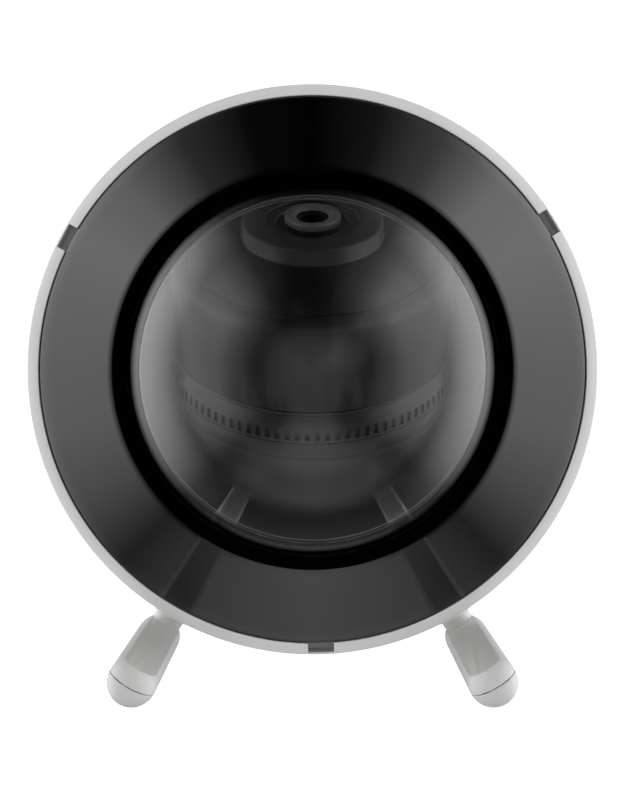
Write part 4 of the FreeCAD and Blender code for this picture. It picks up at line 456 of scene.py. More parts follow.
# %% [markdown]
# A circuit board is green because of its varnish, and the copper tracks under it show as paler
# lines. A brick pattern gives straight tracks, and a fine cell pattern gives round plated holes.

# %% Finish of the circuit boards
TRACK_SCALE = 260.0
HOLE_SCALE = 330.0
HOLE_SIZE = 0.12


def board_finish():
    """Green varnish over copper tracks with plated holes."""
    material = bpy.data.materials.new("board_varnish")
    material.use_nodes = True
    tree = material.node_tree
    shader = tree.nodes["Principled BSDF"]
    place = add(tree, "ShaderNodeTexCoord").outputs["Object"]
    tracks = add(tree, "ShaderNodeTexBrick")
    tracks.inputs["Scale"].default_value = TRACK_SCALE
    tracks.inputs["Mortar Size"].default_value = 0.06
    tracks.inputs["Color1"].default_value = (0.008, 0.070, 0.025, 1.0)
    tracks.inputs["Color2"].default_value = (0.006, 0.055, 0.020, 1.0)
    tracks.inputs["Mortar"].default_value = (0.020, 0.130, 0.045, 1.0)
    tree.links.new(place, tracks.inputs["Vector"])
    holes = add(tree, "ShaderNodeTexVoronoi", feature="F1")
    holes.inputs["Scale"].default_value = HOLE_SCALE
    tree.links.new(place, holes.inputs["Vector"])
    plated = combine(tree, "LESS_THAN", holes.outputs["Distance"], HOLE_SIZE)
    mix = add(tree, "ShaderNodeMix", data_type="RGBA")
    mix.inputs[7].default_value = (0.55, 0.47, 0.28, 1.0)
    tree.links.new(plated, mix.inputs[0])
    tree.links.new(tracks.outputs["Color"], mix.inputs[6])
    tree.links.new(mix.outputs[2], shader.inputs["Base Color"])
    tree.links.new(combine(tree, "MULTIPLY", plated, 0.9), shader.inputs["Metallic"])
    shader.inputs["Roughness"].default_value = 0.32
    bump = add(tree, "ShaderNodeBump")
    bump.inputs["Strength"].default_value = 0.25
    bump.inputs["Distance"].default_value = 0.0001
    tree.links.new(tracks.outputs["Fac"], bump.inputs["Height"])
    tree.links.new(bump.outputs["Normal"], shader.inputs["Normal"])
    return material


board_green = board_finish()

# %% [markdown]
# The dome is clear polycarbonate with a smoke tint. Light has to reach the ball through it,
# so shadow rays see a plain tinted sheet while the eye sees real refraction and reflection.
# Both elements of the lens share one dark glass with a faint violet coat.

# %% Finishes of the clear parts
def clear_finish(name, tint, shadow_tint, ior):
    """A clear finish that refracts for the eye and lets light through."""
    material = bpy.data.materials.new(name)
    material.use_nodes = True
    tree = material.node_tree
    shader = tree.nodes["Principled BSDF"]
    out = tree.nodes["Material Output"]
    surface = add(tree, "ShaderNodeGroup", node_tree=GRAIN)
    surface.inputs["Drift scale"].default_value = 30.0
    mix = add(tree, "ShaderNodeMix", data_type="RGBA")
    mix.inputs[6].default_value = (*tint, 1.0)
    mix.inputs[7].default_value = (*[channel * 0.97 for channel in tint], 1.0)
    tree.links.new(surface.outputs["Drift"], mix.inputs[0])
    tree.links.new(mix.outputs[2], shader.inputs["Base Color"])
    shader.inputs["Roughness"].default_value = 0.0
    shader.inputs["Transmission Weight"].default_value = 1.0
    shader.inputs["IOR"].default_value = ior
    path = add(tree, "ShaderNodeLightPath")
    open_sheet = add(tree, "ShaderNodeBsdfTransparent")
    open_sheet.inputs["Color"].default_value = (*shadow_tint, 1.0)
    choose = add(tree, "ShaderNodeMixShader")
    tree.links.new(path.outputs["Is Shadow Ray"], choose.inputs[0])
    tree.links.new(shader.outputs["BSDF"], choose.inputs[1])
    tree.links.new(open_sheet.outputs["BSDF"], choose.inputs[2])
    tree.links.new(choose.outputs["Shader"], out.inputs["Surface"])
    return material


smoked_dome = clear_finish("smoked_polycarbonate", (0.85, 0.85, 0.85), (0.92, 0.92, 0.92), ior=1.3)
coated_glass = clear_finish("coated_lens_glass", (0.16, 0.155, 0.19), (0.3, 0.3, 0.33), ior=1.22)
print("clear finishes ready")

# %% [markdown]
# Each node that stays gets its finish by its slot name in the record.

# %% Finish the nodes of the frame
SLOT_FINISH = {
    "zinc_steel": zinc, "white_housing": white_housing, "black_rubber": black_rubber,
    "screw_steel": screw_zinc, "black_bezel": black_gloss, "smoked_dome": smoked_dome,
    "black_plastic": black_deep, "grey_liner": grey_liner, "green_board": board_green,
    "green_terminal": green_terminal, "bearing_steel": ground_steel, "white_gear": gear_white,
    "bronze_bush": bronze, "black_ball": black_ball, "black_ring": black_satin,
    "black_boss": black_satin, "lens_black": lens_black, "lens_metal": lens_metal,
    "lens_glass": coated_glass, "white_aerial": white_aerial,
}
slot_of_node = {part["node"]: part["material_slot"] for part in frame["record"]["subparts"]}
for node_name, node_object in nodes.items():
    node_object.data.materials.clear()
    node_object.data.materials.append(SLOT_FINISH[slot_of_node[node_name]])
print("finished", len(slot_of_node), "nodes")


def dress(piece, slot_name, body, *replaced):
    """Give a new piece its finish and body, and hide the nodes that it stands for."""
    piece.data.materials.clear()
    piece.data.materials.append(SLOT_FINISH[slot_name])
    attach(piece, body)
    if replaced:
        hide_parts(*replaced)
    return piece


# %% [markdown]
# The pot is one moulding: a round back edge, a slightly tapered side and a pale rim.
# Three pry notches are cut in the rim, and a boss on each side carries an aerial.
# The profile is turned with its rounded edges in it, and the notches are carved afterwards.
# Inside stand four posts for the board, and three taller ones with a web each that hold the liner.

# %% Model the pale pot
NOTCH_TURNS = (31.75, 151.75, 271.75)
SCREW_CIRCLE = 44
BOARD_POST_CIRCLE = 50
LINER_POST_CIRCLE = 61.5
AERIAL_SPREAD = 30
AERIAL_HEIGHT = 52.0
POT_FLOOR = 4.7


def aerial_swing(side):
    """The turn to the left (-1) or right (1) aerial, counted from below the dome."""
    return turn(270 + AERIAL_SPREAD * side, "Z")


def neck_place(side):
    """Where a piece that was turned upright lies along the neck of an aerial."""
    return aerial_swing(side) @ shift(0, 0, AERIAL_HEIGHT) @ turn(90, "Y")


def screw_post(top):
    """A post with a flared foot and a blind hole that stands on the pot's floor."""
    foot = POT_FLOOR - 0.1
    return smooth(turned("post", [(1.3, foot), (3.4, foot), (3.05, 5.4), (3.0, top - 0.2),
                                  (2.8, top), (1.3, top)], steps=32))


def pale_pot():
    """The moulded housing with its rounded rim, notches and aerial bosses."""
    profile = [(0, 2.2), (50.4, 2.2), (50.4, 0.4), (50.8, 0.0)]
    profile += arc(58.6, 14.0, 14.0, -90, 0, 16)
    profile += [(72.9, 20.0), (73.6, 35.0), (74.3, 50.0)]
    profile += arc(74.1, 57.3, 0.87, 0, 62, 6)
    profile += [(73.4, 58.55), (72.75, 58.8), (71.9, 58.98), (71.74, 58.85), (71.74, 57.2),
                (72.3, 57.0), (72.3, 55.75), (72.2, 55.6), (69.4, 55.6)]
    profile += [(69.6, 50.0), (69.9, 30.0)]
    profile += arc(58.6, 14.0, 11.4, 0, -78, 12)
    profile += [(52.0, POT_FLOOR), (0, POT_FLOOR)]
    pot = turned("pale_pot", profile, steps=216)
    notch_places = [turn(turned_by, "Z") for turned_by in NOTCH_TURNS]
    notches = repeated(slab("notch", (70.4, -3.4, 53.0), (74.3, 3.4, 60.5)), notch_places)
    pockets = repeated(slab("pocket", (68.4, -4.4, 45.6), (70.9, 4.4, 48.1)), notch_places)
    for notch, pocket in zip(notches, pockets):
        carve(pot, notch)
        carve(pot, pocket)
    boss = turned("boss", [(2.45, 68.0), (2.45, 75.6), (5.2, 75.6), (5.4, 75.4), (5.4, 68.2),
                           (5.2, 68.0)], steps=64)
    neck_places = [neck_place(-1), neck_place(1)]
    bores = repeated(roller("bore", 5.0, 66.0, 77.0), neck_places)
    for bore, one_boss in zip(bores, repeated(boss, neck_places)):
        carve(pot, bore)
        pot = merged("pale_pot", [pot, one_boss])
    carve(pot, put(roller("cable_hole", 6.0, 1.0, 6.0), shift(0, 41.0, 0)))
    carve(pot, roller("middle_hole", 11.05, 1.0, 6.0))
    screw_places = [spot(SCREW_CIRCLE, 120 * number) for number in range(3)]
    for hole in repeated(roller("screw_hole", 1.55, 1.0, 6.0, 32), screw_places):
        carve(pot, hole)
    smooth(pot, 28.0)
    quarters = [45 + 90 * number for number in range(4)]
    inside = repeated(screw_post(27.0), [spot(BOARD_POST_CIRCLE, degrees) for degrees in quarters])
    thirds = [30 + 120 * number for number in range(3)]
    inside += repeated(screw_post(51.7), [spot(LINER_POST_CIRCLE, degrees) for degrees in thirds])
    web = soften(slab("web", (64.2, -0.8, 12.0), (70.6, 0.8, 44.0)), 0.25, 2)
    inside += repeated(web, [turn(degrees, "Z") for degrees in thirds])
    return merged("pale_pot", [pot] + inside)


pot = pale_pot()
dress(pot, "white_housing", "housing", "back_housing")
print("pot", len(pot.data.polygons), "faces")

# %% [markdown]
# The bezel is a shallow gloss black cone. Its crest stands round the dome and drops to a narrow
# lip. Three hooks snap under the ledge behind the notches, and six bosses take the clamp screws.

# %% Model the gloss bezel
CONE_EDGE = 72.0
CONE_RISE = 9.9 / 20.8
BEZEL_BOSS_CIRCLE = 57


def cone_height(radius):
    """Height of the cone's face at a radius."""
    return RIM - 0.4 + (CONE_EDGE - radius) * CONE_RISE


def gloss_bezel():
    """The cone with rounded edge, crest and lip, and its hooks and bosses below."""
    profile = [(71.62, 56.6), (71.62, 58.5), (71.57, 58.66), (71.4, cone_height(71.4))]
    profile += [(radius, cone_height(radius)) for radius in (68.0, 64.0, 60.0, 56.0, 52.4)]
    profile += [(51.3, cone_height(51.3)), (50.9, cone_height(50.9) - 0.12), (50.6, 68.1)]
    profile += [(48.5, 64.25), (48.3, 63.8), (48.3, 60.8), (50.3, 60.8), (50.3, 62.8)]
    profile += [(52.3, cone_height(52.3) - 2.2), (70.0, cone_height(70.0) - 2.2), (70.0, 56.6)]
    bezel = turned("gloss_bezel", profile, steps=216)
    boss = turned("boss", [(1.25, 57.6), (3.0, 57.6), (3.0, 63.6), (1.25, 63.6)], steps=32)
    extras = repeated(boss, [spot(BEZEL_BOSS_CIRCLE, 60 * number) for number in range(6)])
    hook_places = [turn(turned_by, "Z") for turned_by in NOTCH_TURNS]
    for name, low, high in (("stalk", (67.2, -4.0, 46.0), (69.0, 4.0, 59.0)),
                            ("barb", (68.1, -4.0, 46.0), (70.5, 4.0, 48.0))):
        extras += repeated(soften(slab(name, low, high), 0.2), hook_places)
    smooth(bezel, 30.0)
    return merged("gloss_bezel", [bezel] + extras)


bezel = gloss_bezel()
dress(bezel, "black_bezel", "housing", "bezel_ring")
print("bezel", len(bezel.data.polygons), "faces")

# %% [markdown]
# The dome is a half sphere on a short skirt with a flange. Its wall is even, because an uneven wall
# would bend the picture that the lens takes.

# %% Model the smoked dome
DOME_OUTSIDE = 47.6
DOME_INSIDE = 46.1


def dome_shell():
    """Even walled half sphere with skirt and flange."""
    outer = arc(0, CENTRE, DOME_OUTSIDE, 0, 90, 48)
    inner = arc(0, CENTRE, DOME_INSIDE, 90, 0, 48)
    skirt = [(DOME_INSIDE, 57.5), (53.3, 57.5), (53.5, 57.7), (53.5, 59.3), (53.3, 59.5),
             (DOME_OUTSIDE, 59.5)]
    return smooth(turned("dome_shell", outer + inner + skirt, steps=216), 30.0)


dome = dome_shell()
dress(dome, "smoked_dome", "housing", "dome_bubble")
print("dome", len(dome.data.polygons), "faces")

# %% [markdown]
# The liner is a grey cup close round the ball, and it hides the works from the eye.
# It is turned in one go: the cup's inside, its outside, and the flange that stands on the posts.

# %% Model the liner
LINER_INSIDE = 46.4
LINER_OUTSIDE = 48.0
LINER_MOUTH = 27.4


def liner_bowl():
    """Cup, lip and flange of the liner."""
    start = -math.degrees(math.asin(7.1 / LINER_INSIDE))
    end = -math.degrees(math.acos(LINER_MOUTH / LINER_INSIDE))
    inner = arc(0, CENTRE, LINER_INSIDE, start, end, 20)
    end_outer = -math.degrees(math.acos(LINER_MOUTH / LINER_OUTSIDE))
    start_outer = -math.degrees(math.asin(10.3 / LINER_OUTSIDE))
    outer = arc(0, CENTRE, LINER_OUTSIDE, end_outer, start_outer, 18)
    rim = [(65.0, 51.7), (65.0, 53.2), (LINER_OUTSIDE, 53.2), (LINER_OUTSIDE, 54.9)]
    return soften(turned("liner_bowl", inner + outer + rim, steps=180), 0.15, 2)


liner = liner_bowl()
dress(liner, "grey_liner", "housing", "liner_cup")
print("liner", len(liner.data.polygons), "faces")

# %% [markdown]
# The ball tilts about a cross axis, so its parts are turned upright and then leaned back together.
# A rear shell with a slot for the arm, a knurled ring, a smooth band and a tapered front follow on.
# The slot's tool is a flat sheet, spun about the tilt axis through all the angles the arm needs.
# Spin goes round the other way than `turn` does, so its angle has a minus.

# %% Lean parts with the ball
REST_TILT = 58.0
BALL_OUTSIDE = 36.25
BALL_INSIDE = 34.25
SLOT_HALF = 8.5
ARM_HALF = 5.3
ARM_SWEEP = 75.0
LEAN = shift(0, 0, CENTRE) @ turn(-REST_TILT, "X")


def barrel(level):
    """Outside radius of the tapered barrel at a height above the ball's centre."""
    return 36.0 - 1.8 * level / 29.5


def slot_wedge():
    """Wedge about the tilt axis that clears the arm through the whole tilt."""
    reach = 40.0
    margin = math.degrees(math.asin(ARM_HALF / BALL_INSIDE))
    bpy.ops.object.select_all(action="DESELECT")
    bpy.ops.mesh.primitive_plane_add(size=1, location=(0, reach / 2 * MM, 0))
    wedge = bpy.context.object
    wedge.scale = (2 * SLOT_HALF * MM, reach * MM, 1)
    bpy.ops.object.transform_apply(location=True, rotation=True, scale=True)
    put(wedge, turn(-90 - margin, "X"))
    edit(wedge)
    bpy.ops.mesh.spin(steps=12, angle=-math.radians(ARM_SWEEP + 2 * margin),
                      center=(0, 0, 0), axis=(1, 0, 0))
    return close_up(wedge)


def ball_rear():
    """Hollow rear half of the ball with the slot for the arm."""
    low = math.degrees(math.asin(2.2 / BALL_OUTSIDE))
    low_inner = math.degrees(math.asin(2.2 / BALL_INSIDE))
    outer = arc(0, 0, BALL_OUTSIDE, -90, -low, 40)
    inner = arc(0, 0, BALL_INSIDE, -low_inner, -90, 40)
    shell = soften(turned("ball_rear", outer + inner, steps=144), 0.12, 2)
    carve(shell, slot_wedge())
    return put(smooth(shell, 28.0), LEAN)


rear = ball_rear()
dress(rear, "black_ball", "tilt_ball", "ball_rear_shell")
print("rear shell", len(rear.data.polygons), "faces")

# %% [markdown]
# The knurled ring has seventy-two low ribs. One ring of points is drawn, every rib's points are
# pushed outwards together, and the outline is drawn up into a band with softened edges.
# An open band has no inside of its own, so its faces are turned away from the axis before it gets
# its wall. Turned the other way, the wall would grow outwards and cut into the arm.

# %% Model the knurled ring
RIBS = 72
RIB_FOOT = 36.16
RIB_TIP = 36.26
EDGE_SHRINK = 0.998


def knurl():
    """Band of upright ribs between the two halves of the ball."""
    bpy.ops.object.select_all(action="DESELECT")
    bpy.ops.mesh.primitive_circle_add(vertices=RIBS * 6, radius=RIB_FOOT * MM,
                                      location=(0, 0, -2.1 * MM))
    band = bpy.context.object
    band.name = "knurl_band"
    bpy.ops.object.transform_apply(location=True)
    for point in band.data.vertices:
        point.select = point.index % 6 in (1, 2, 3)
    bpy.ops.object.mode_set(mode="EDIT")
    bpy.ops.mesh.select_mode(type="VERT")
    push = RIB_TIP / RIB_FOOT
    bpy.ops.transform.resize(value=(push, push, 1), center_override=(0, 0, 0))
    bpy.ops.mesh.select_all(action="SELECT")
    bpy.ops.transform.resize(value=(EDGE_SHRINK, EDGE_SHRINK, 1), center_override=(0, 0, 0))
    for scale, lift in ((1 / EDGE_SHRINK, 0.25), (1.0, 3.7), (EDGE_SHRINK, 0.25)):
        bpy.ops.mesh.extrude_region_move(TRANSFORM_OT_translate={"value": (0, 0, lift * MM)})
        bpy.ops.transform.resize(value=(scale, scale, 1), center_override=(0, 0, 0))
    bpy.ops.mesh.select_all(action="SELECT")
    bpy.ops.mesh.normals_make_consistent(inside=False)
    bpy.ops.object.mode_set(mode="OBJECT")
    first = band.data.polygons[0]
    if first.center.xy.dot(first.normal.xy) < 0:
        edit(band)
        bpy.ops.mesh.flip_normals()
        bpy.ops.object.mode_set(mode="OBJECT")
    bpy.ops.object.modifier_add(type="SOLIDIFY")
    wall = band.modifiers[-1]
    wall.thickness = 1.7 * MM
    wall.offset = -1.0
    bpy.ops.object.modifier_apply(modifier=wall.name)
    return put(smooth(band, 25.0), LEAN)


knurled = knurl()
dress(knurled, "black_ring", "tilt_ball", "knurled_ring")
print("knurl", len(knurled.data.polygons), "faces")

# %% [markdown]
# The band and the front cover meet at a fine seam. The cover tapers to a round shoulder and a
# shallow cone, and beside the lens it has an opening for the small door of the card slot.
# The door has a known fault: it was to be the part of the cover inside the opening, 0.1 mm smaller
# than the door's outline, but it was never cut to it. The whole cover, turned a second time with
# softer edges, stands for it and fills the opening's gap.

# %% Model the band and the front cover
SLOTS = 96
BAND_INSIDE = 34.0


def barrel_band():
    """Ring that follows the ball's curve, with a step at its top and a row of fine slots."""
    profile = [(BAND_INSIDE, 2.2)] + arc(0, 0, 36.22, 3.6, 14.6, 10)
    profile += [(35.36, 9.42), (barrel(9.6), 9.55), (barrel(10.0), 10.0),
                (barrel(10.0) - 0.14, 10.15), (BAND_INSIDE, 10.15)]
    ring = smooth(turned("barrel_band", profile), 22.0)
    slots = repeated(slab("slot", (35.1, -0.58, 2.95), (37.0, 0.58, 5.4)),
                     [turn(360.0 * (number + 0.5) / SLOTS, "Z") for number in range(SLOTS)])
    return put(smooth(carve(ring, merged("slots", slots)), 22.0), LEAN)


band = barrel_band()
dress(band, "black_ball", "tilt_ball", "barrel_ring")

DOOR_AT = 8.3
DOOR_HALF = 3.6
DOOR_FOOT = 23.1
DOOR_END = -24.4


def door_tool(grow):
    """Upright slab with a round end, a little larger than the small door."""
    width = DOOR_HALF + grow
    foot = DOOR_FOOT - grow
    tool = slab("door_tool", (DOOR_AT - width, -37.0, foot), (DOOR_AT + width, DOOR_END, 42.0))
    end = put(roller("end", width, foot, 42.0, 48), shift(DOOR_AT, DOOR_END, 0))
    return carve(tool, end, "UNION")


def cover_profile():
    """Profile of the front cover with a round shoulder and a groove round its face."""
    slope = 6.3 / 15.45
    outer = [(barrel(10.4) - 0.15, 10.4), (barrel(10.55), 10.55), (barrel(20.0), 20.0),
             (barrel(28.9), 28.9), (34.16, 29.4), (34.08, 29.9), (33.86, 30.45), (33.5, 31.0),
             (33.05, 31.45), (32.5, 31.85), (31.9, 32.2)]
    groove = [(30.58, 32.1 + 1.92 * slope), (30.5, 32.3), (30.14, 32.35),
              (30.06, 32.1 + 2.44 * slope)]
    face = [(25.0, 32.1 + 7.5 * slope), (17.6, 38.18), (17.05, 38.4), (16.6, 38.4)]
    inner = [(16.6, 36.6), (30.7, 31.0), (32.4, 28.6), (33.3, 20.0), (barrel(10.4) - 1.8, 10.4)]
    return outer + groove + face + inner


def front_cover():
    """Tapered cover with the opening for the small door and four posts inside."""
    shell = smooth(turned("front_cover", cover_profile(), steps=180), 32.0)
    carve(shell, door_tool(0.3))
    smooth(shell, 32.0)
    post = smooth(turned("post", [(1.25, 16.6), (2.4, 16.6), (2.4, 34.0), (1.25, 34.0)], steps=32))
    posts = repeated(post, [shift(x, y, 0) for x in (-13, 13) for y in (-13, 13)])
    return put(merged("front_cover", [shell] + posts), LEAN)


cover = front_cover()
dress(cover, "black_ball", "tilt_ball", "ball_front_cover")


def small_door():
    """What stands for the small door: the whole cover again, not cut to the door's outline."""
    return put(soften(turned("small_door", cover_profile(), steps=180), 0.2, 3, 40.0), LEAN)


door = small_door()
dress(door, "black_ball", "tilt_ball", "side_cover")
print("cover", len(cover.data.polygons), "door", len(door.data.polygons), "faces")

# %% [markdown]
# The lens sits in a boss with two shallow recesses. Its glass is a real dome of glass in a ring,
# and an aperture and a second element lie deeper in the barrel.

# %% Model the lens and its boss
def in_ball(piece, slot_name, *replaced):
    """Lean a piece with the ball and dress it."""
    return dress(put(piece, LEAN), slot_name, "tilt_ball", *replaced)


boss_profile = [(17.05, 36.6), (17.4, 38.33), (17.18, 38.45), (17.05, 38.75), (16.95, 41.3),
                (16.8, 41.75), (16.5, 42.0), (16.1, 42.1), (11.5, 42.1), (11.3, 41.95),
                (11.3, 41.35), (9.1, 41.35), (8.95, 41.2), (8.95, 40.6), (6.75, 40.6), (6.75, 38.8),
                (15.25, 38.8), (15.25, 36.6)]
tube_profile = [(6.0, 24.0), (6.0, 36.8), (6.7, 36.8), (6.7, 42.0), (4.3, 42.0), (4.3, 39.8),
                (3.7, 39.8), (2.9, 24.0)]
ring_profile = [(4.2, 42.35), (6.7, 42.02), (6.7, 43.05), (6.62, 43.25), (6.4, 43.4), (4.8, 43.4),
                (3.8, 42.8), (3.8, 42.65)]
iris_profile = [(1.6, 38.6), (3.55, 38.9), (3.55, 39.1), (1.6, 38.8)]
rear_profile = [(0, 33.0), (2.6, 33.6), (3.2, 34.2), (2.6, 35.2), (0, 36.2)]
GLASS_RADIUS = 4.1
GLASS_TOP = 43.2
glass_bend = (GLASS_RADIUS ** 2 + 1.0) / 2.0
glass_reach = math.degrees(math.asin(GLASS_RADIUS / glass_bend))
glass_front = arc(0, GLASS_TOP - glass_bend, glass_bend, 90 - glass_reach, 90, 14)
glass_profile = [(0, 39.8), (GLASS_RADIUS, 39.8)] + glass_front

lens_pieces = [
    in_ball(smooth(turned("lens_hub", boss_profile, steps=128)), "black_boss", "lens_boss"),
    in_ball(soften(turned("lens_tube", tube_profile, steps=96), 0.1, 2), "lens_black",
            "lens_barrel"),
    in_ball(smooth(turned("lens_trim", ring_profile, steps=96)), "lens_metal", "lens_ring"),
    in_ball(smooth(turned("lens_front_glass", glass_profile, steps=96)), "lens_glass",
            "lens_glass"),
    in_ball(smooth(turned("lens_iris", iris_profile, steps=64)), "lens_black"),
    in_ball(smooth(turned("lens_rear_element", rear_profile, steps=64)), "lens_glass"),
]
print("lens pieces", len(lens_pieces))

# %% [markdown]
# Each aerial is a capsule with a flat towards the camera, split along its length into two shells.
# It swings on a neck that widens into the pot. The pieces are modelled once, upright, and each side
# gets copies that are turned into place.

# %% Model the aerials
AERIAL_AT = 82.4
AERIAL_RADIUS = 5.74
AERIAL_LENGTH = 47.0
FLAT_AT = 4.1
SEAM_HALF = 0.12


def capsule(name):
    """A rod with two round ends."""
    rings = arc(0, 0, AERIAL_RADIUS, -90, 0, 14)
    rings += [(AERIAL_RADIUS, AERIAL_LENGTH * step / 6) for step in range(1, 6)]
    rings += arc(0, AERIAL_LENGTH, AERIAL_RADIUS, 0, 90, 14)
    return turned(name, rings, steps=96, closed=False)


def aerial_shell(name, outer):
    """One half of the capsule, cut at the parting line and at the flat."""
    shell = capsule(name)
    edit(shell)
    if outer:
        bpy.ops.mesh.bisect(plane_co=(SEAM_HALF * MM, 0, 0), plane_no=(1, 0, 0), use_fill=True,
                            clear_inner=True)
    else:
        bpy.ops.mesh.bisect(plane_co=(-SEAM_HALF * MM, 0, 0), plane_no=(1, 0, 0), use_fill=True,
                            clear_outer=True)
        bpy.ops.mesh.select_all(action="SELECT")
        bpy.ops.mesh.bisect(plane_co=(-FLAT_AT * MM, 0, 0), plane_no=(1, 0, 0), use_fill=True,
                            clear_inner=True)
    close_up(shell)
    return soften(shell, 0.1, 2, 40.0)


neck_profile = [(0, 66.5), (2.1, 66.5), (2.4, 66.8), (2.4, 75.7), (3.6, 75.7), (3.95, 76.0),
                (3.95, 77.6), (3.8, 77.9), (3.8, 78.35), (3.0, 78.35), (3.0, 81.4), (0, 81.4)]
patterns = {
    "outer_half": (aerial_shell("outer_pattern", True), "aerial_outer_shell"),
    "inner_half": (aerial_shell("inner_pattern", False), "aerial_inner_shell"),
    "neck": (smooth(turned("neck_pattern", neck_profile, steps=72)), "aerial_pivot"),
}
for side, word in ((-1, "left"), (1, "right")):
    upright = aerial_swing(side) @ shift(AERIAL_AT, 0, AERIAL_HEIGHT)
    for name, (pattern, node) in patterns.items():
        place = neck_place(side) if name == "neck" else upright
        dress(copy_of(pattern, f"{word}_{name}", place), "white_aerial", f"{word}_aerial",
              f"{word}_{node}")
for pattern, node in patterns.values():
    bpy.data.objects.remove(pattern)
print("aerials ready")

# %% [markdown]
# The studio is plain: the object lies on a pale floor in a soft ring of light.
# Gloss black shows what stands round it, so the light is described as the bezel sees it:
# bright on the left and right, weaker below the picture, dark above it and in two gaps.
# The camera itself sees plain white behind the object, and the floor keeps a faint shadow.
# Mirrors and glass don't see the floor, because its glow would wash out what they show.

# %% Floor
FLOOR_GLOW = 0.75
FLOOR_SIZE = 6.0
JUST_BELOW = -0.0002
bpy.ops.object.select_all(action="DESELECT")
bpy.ops.mesh.primitive_plane_add(size=FLOOR_SIZE, location=(0, 0, JUST_BELOW))
floor = bpy.context.object
floor.name = "floor"
floor_material = bpy.data.materials.new("pale_floor")
floor_material.use_nodes = True
floor_tree = floor_material.node_tree
floor_shader = floor_tree.nodes["Principled BSDF"]
floor_shader.inputs["Base Color"].default_value = (0.8, 0.8, 0.8, 1.0)
floor_shader.inputs["Roughness"].default_value = 0.9
floor_path = add(floor_tree, "ShaderNodeLightPath")
floor_shader.inputs["Emission Color"].default_value = (1.0, 1.0, 1.0, 1.0)
floor_glow = combine(floor_tree, "MULTIPLY", floor_path.outputs["Is Camera Ray"], FLOOR_GLOW)
floor_tree.links.new(floor_glow, floor_shader.inputs["Emission Strength"])
floor.data.materials.append(floor_material)
floor.visible_glossy = False
floor.visible_transmission = False
print("floor ready")

# %% [markdown]
# The ring of light is one ramp round the compass times one ramp from horizon to zenith.
# Angles are counted from the right of the picture, so 90 is its top.
# A lower ring lights the dome's sides, a small patch straight above lights the lens, and a patch
# below the picture gives the foot of the ball its soft spot. Three quarters of the lower ring are
# kept from rays that come through glass. White is seen by the camera and straight through glass.

# %% Ring of light
ROUND_LIGHT = ((0, 1.95), (15, 2.27), (30, 2.65), (45, 2.40), (52, 1.5), (60, 0.67), (75, 0.10),
               (90, 0.0), (105, 0.03), (120, 0.37), (128, 1.1), (135, 1.86), (150, 2.45),
               (165, 2.12), (180, 1.90), (195, 1.69), (210, 1.10), (225, 0.22), (245, 0.65),
               (270, 0.93), (295, 0.65), (315, 0.22), (330, 1.12), (345, 1.77))
UPWARD_LIGHT = ((0.0, 0.9), (0.12, 1.0), (0.50, 1.0), (0.66, 0.5), (0.82, 0.12), (1.0, 0.10))
BRIGHTEST = 3.0
ZENITH = 0.62
LOW_ROUND = ((0, 1.0), (15, 1.0), (30, 0.95), (45, 0.57), (60, 0.12), (75, 0.02), (90, 0.0),
             (105, 0.01), (120, 0.08), (135, 0.5), (150, 0.95), (165, 1.0), (180, 0.96),
             (195, 0.83), (210, 0.5), (225, 0.09), (240, 0.02), (300, 0.02), (315, 0.13),
             (330, 0.55), (345, 0.85))
DOWNWARD_LIGHT = ((0.0, 1.0), (0.25, 1.0), (0.42, 0.87), (0.63, 0.53), (0.77, 0.22), (1.0, 0.1))
FOOT_ROUND = ((0.0, 0.0), (240, 0.0), (252, 0.8), (262, 1.0), (278, 1.0), (288, 0.8), (300, 0.0))
FOOT_UPWARD = ((0.0, 0.0), (0.45, 0.0), (0.66, 0.5), (0.80, 0.8), (0.88, 0.35), (0.94, 0.0))
LOW_BRIGHTEST = 4.4
LOW_KEPT_OUT = 0.75
HORIZON = (-0.20, 0.12)
ZENITH_FROM = 0.86


def product(tree, first, *others):
    """Several sockets or numbers multiplied."""
    for other in others:
        first = combine(tree, "MULTIPLY", first, other)
    return first


def compass_ramp(tree, marks, value, brightest=1.0):
    """A ramp of (angle, level) pairs round the compass that ends as it begins."""
    stops = [(angle / 360.0, level / brightest) for angle, level in marks]
    return ramp_of(tree, stops + [(1.0, stops[0][1])], value)


def ramp_of(tree, stops, value):
    """A grey ramp through (position, level) pairs."""
    ramp = add(tree, "ShaderNodeValToRGB")
    marks = ramp.color_ramp.elements
    while len(marks) > 1:
        marks.remove(marks[-1])
    for number, (position, level) in enumerate(stops):
        mark = marks[0] if number == 0 else marks.new(position)
        mark.position = position
        mark.color = (level, level, level, 1.0)
    tree.links.new(value, ramp.inputs[0])
    return ramp.outputs[0]


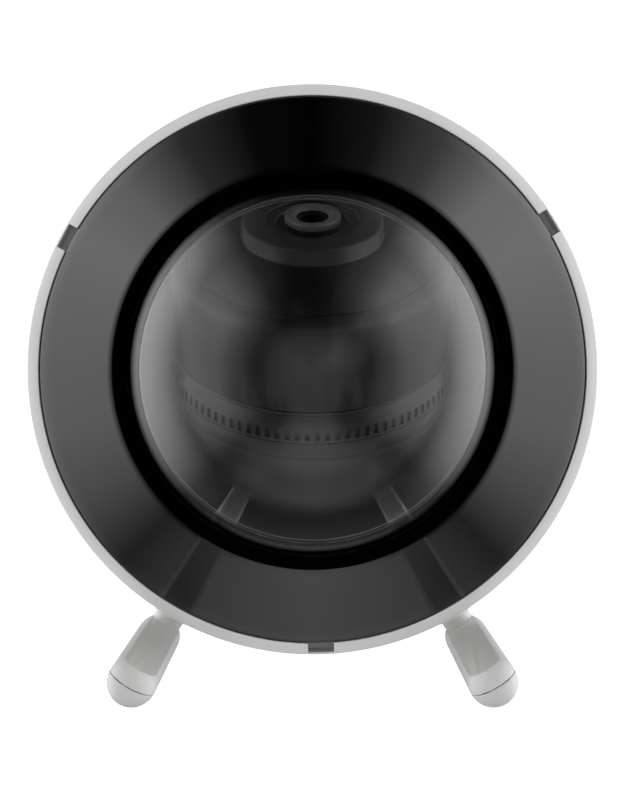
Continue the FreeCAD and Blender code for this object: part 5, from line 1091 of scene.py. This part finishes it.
world = bpy.data.worlds.new("studio")
bpy.context.scene.world = world
world.use_nodes = True
sky = world.node_tree
background = sky.nodes["Background"]
split = add(sky, "ShaderNodeSeparateXYZ")
sky.links.new(add(sky, "ShaderNodeTexCoord").outputs["Generated"], split.inputs[0])
height = split.outputs["Z"]
compass = combine(sky, "ARCTAN2", split.outputs["Y"], split.outputs["X"])
whole_turns = combine(sky, "ADD", combine(sky, "DIVIDE", compass, 2 * math.pi), 1.0)
turns = combine(sky, "FRACT", whole_turns, 0)
horizon = add(sky, "ShaderNodeMapRange", interpolation_type="SMOOTHSTEP")
horizon.inputs["From Min"].default_value = HORIZON[0]
horizon.inputs["From Max"].default_value = HORIZON[1]
sky.links.new(height, horizon.inputs["Value"])
above = horizon.outputs["Result"]
below = combine(sky, "SUBTRACT", 1.0, above)
around = compass_ramp(sky, ROUND_LIGHT, turns, BRIGHTEST)
glow = product(sky, around, ramp_of(sky, UPWARD_LIGHT, height), BRIGHTEST, above)
sky_path = add(sky, "ShaderNodeLightPath")
kept_out = combine(sky, "MULTIPLY", sky_path.outputs["Is Transmission Ray"], LOW_KEPT_OUT)
downward = ramp_of(sky, DOWNWARD_LIGHT, combine(sky, "MULTIPLY", height, -1.0))
low_glow = product(sky, compass_ramp(sky, LOW_ROUND, turns), below, downward, LOW_BRIGHTEST,
                   combine(sky, "SUBTRACT", 1.0, kept_out))
zenith = ramp_of(sky, ((0.0, 0.0), (ZENITH_FROM, 0.0), (1.0, ZENITH)), height)
foot = product(sky, compass_ramp(sky, FOOT_ROUND, turns), ramp_of(sky, FOOT_UPWARD, height))
rings = combine(sky, "ADD", glow, low_glow)
patches = combine(sky, "ADD", zenith, foot)
studio_light = combine(sky, "ADD", rings, patches)
bounces = combine(sky, "ADD", sky_path.outputs["Glossy Depth"],
                  sky_path.outputs["Diffuse Depth"])
straight = combine(sky, "MULTIPLY", sky_path.outputs["Is Transmission Ray"],
                   combine(sky, "LESS_THAN", bounces, 0.5))
seen = combine(sky, "MAXIMUM", sky_path.outputs["Is Camera Ray"], straight)
shown = combine(sky, "MAXIMUM", studio_light, seen)
sky.links.new(shown, background.inputs["Color"])
bpy.context.scene.view_settings.view_transform = "Standard"
print("light ready", len(ROUND_LIGHT), "marks")
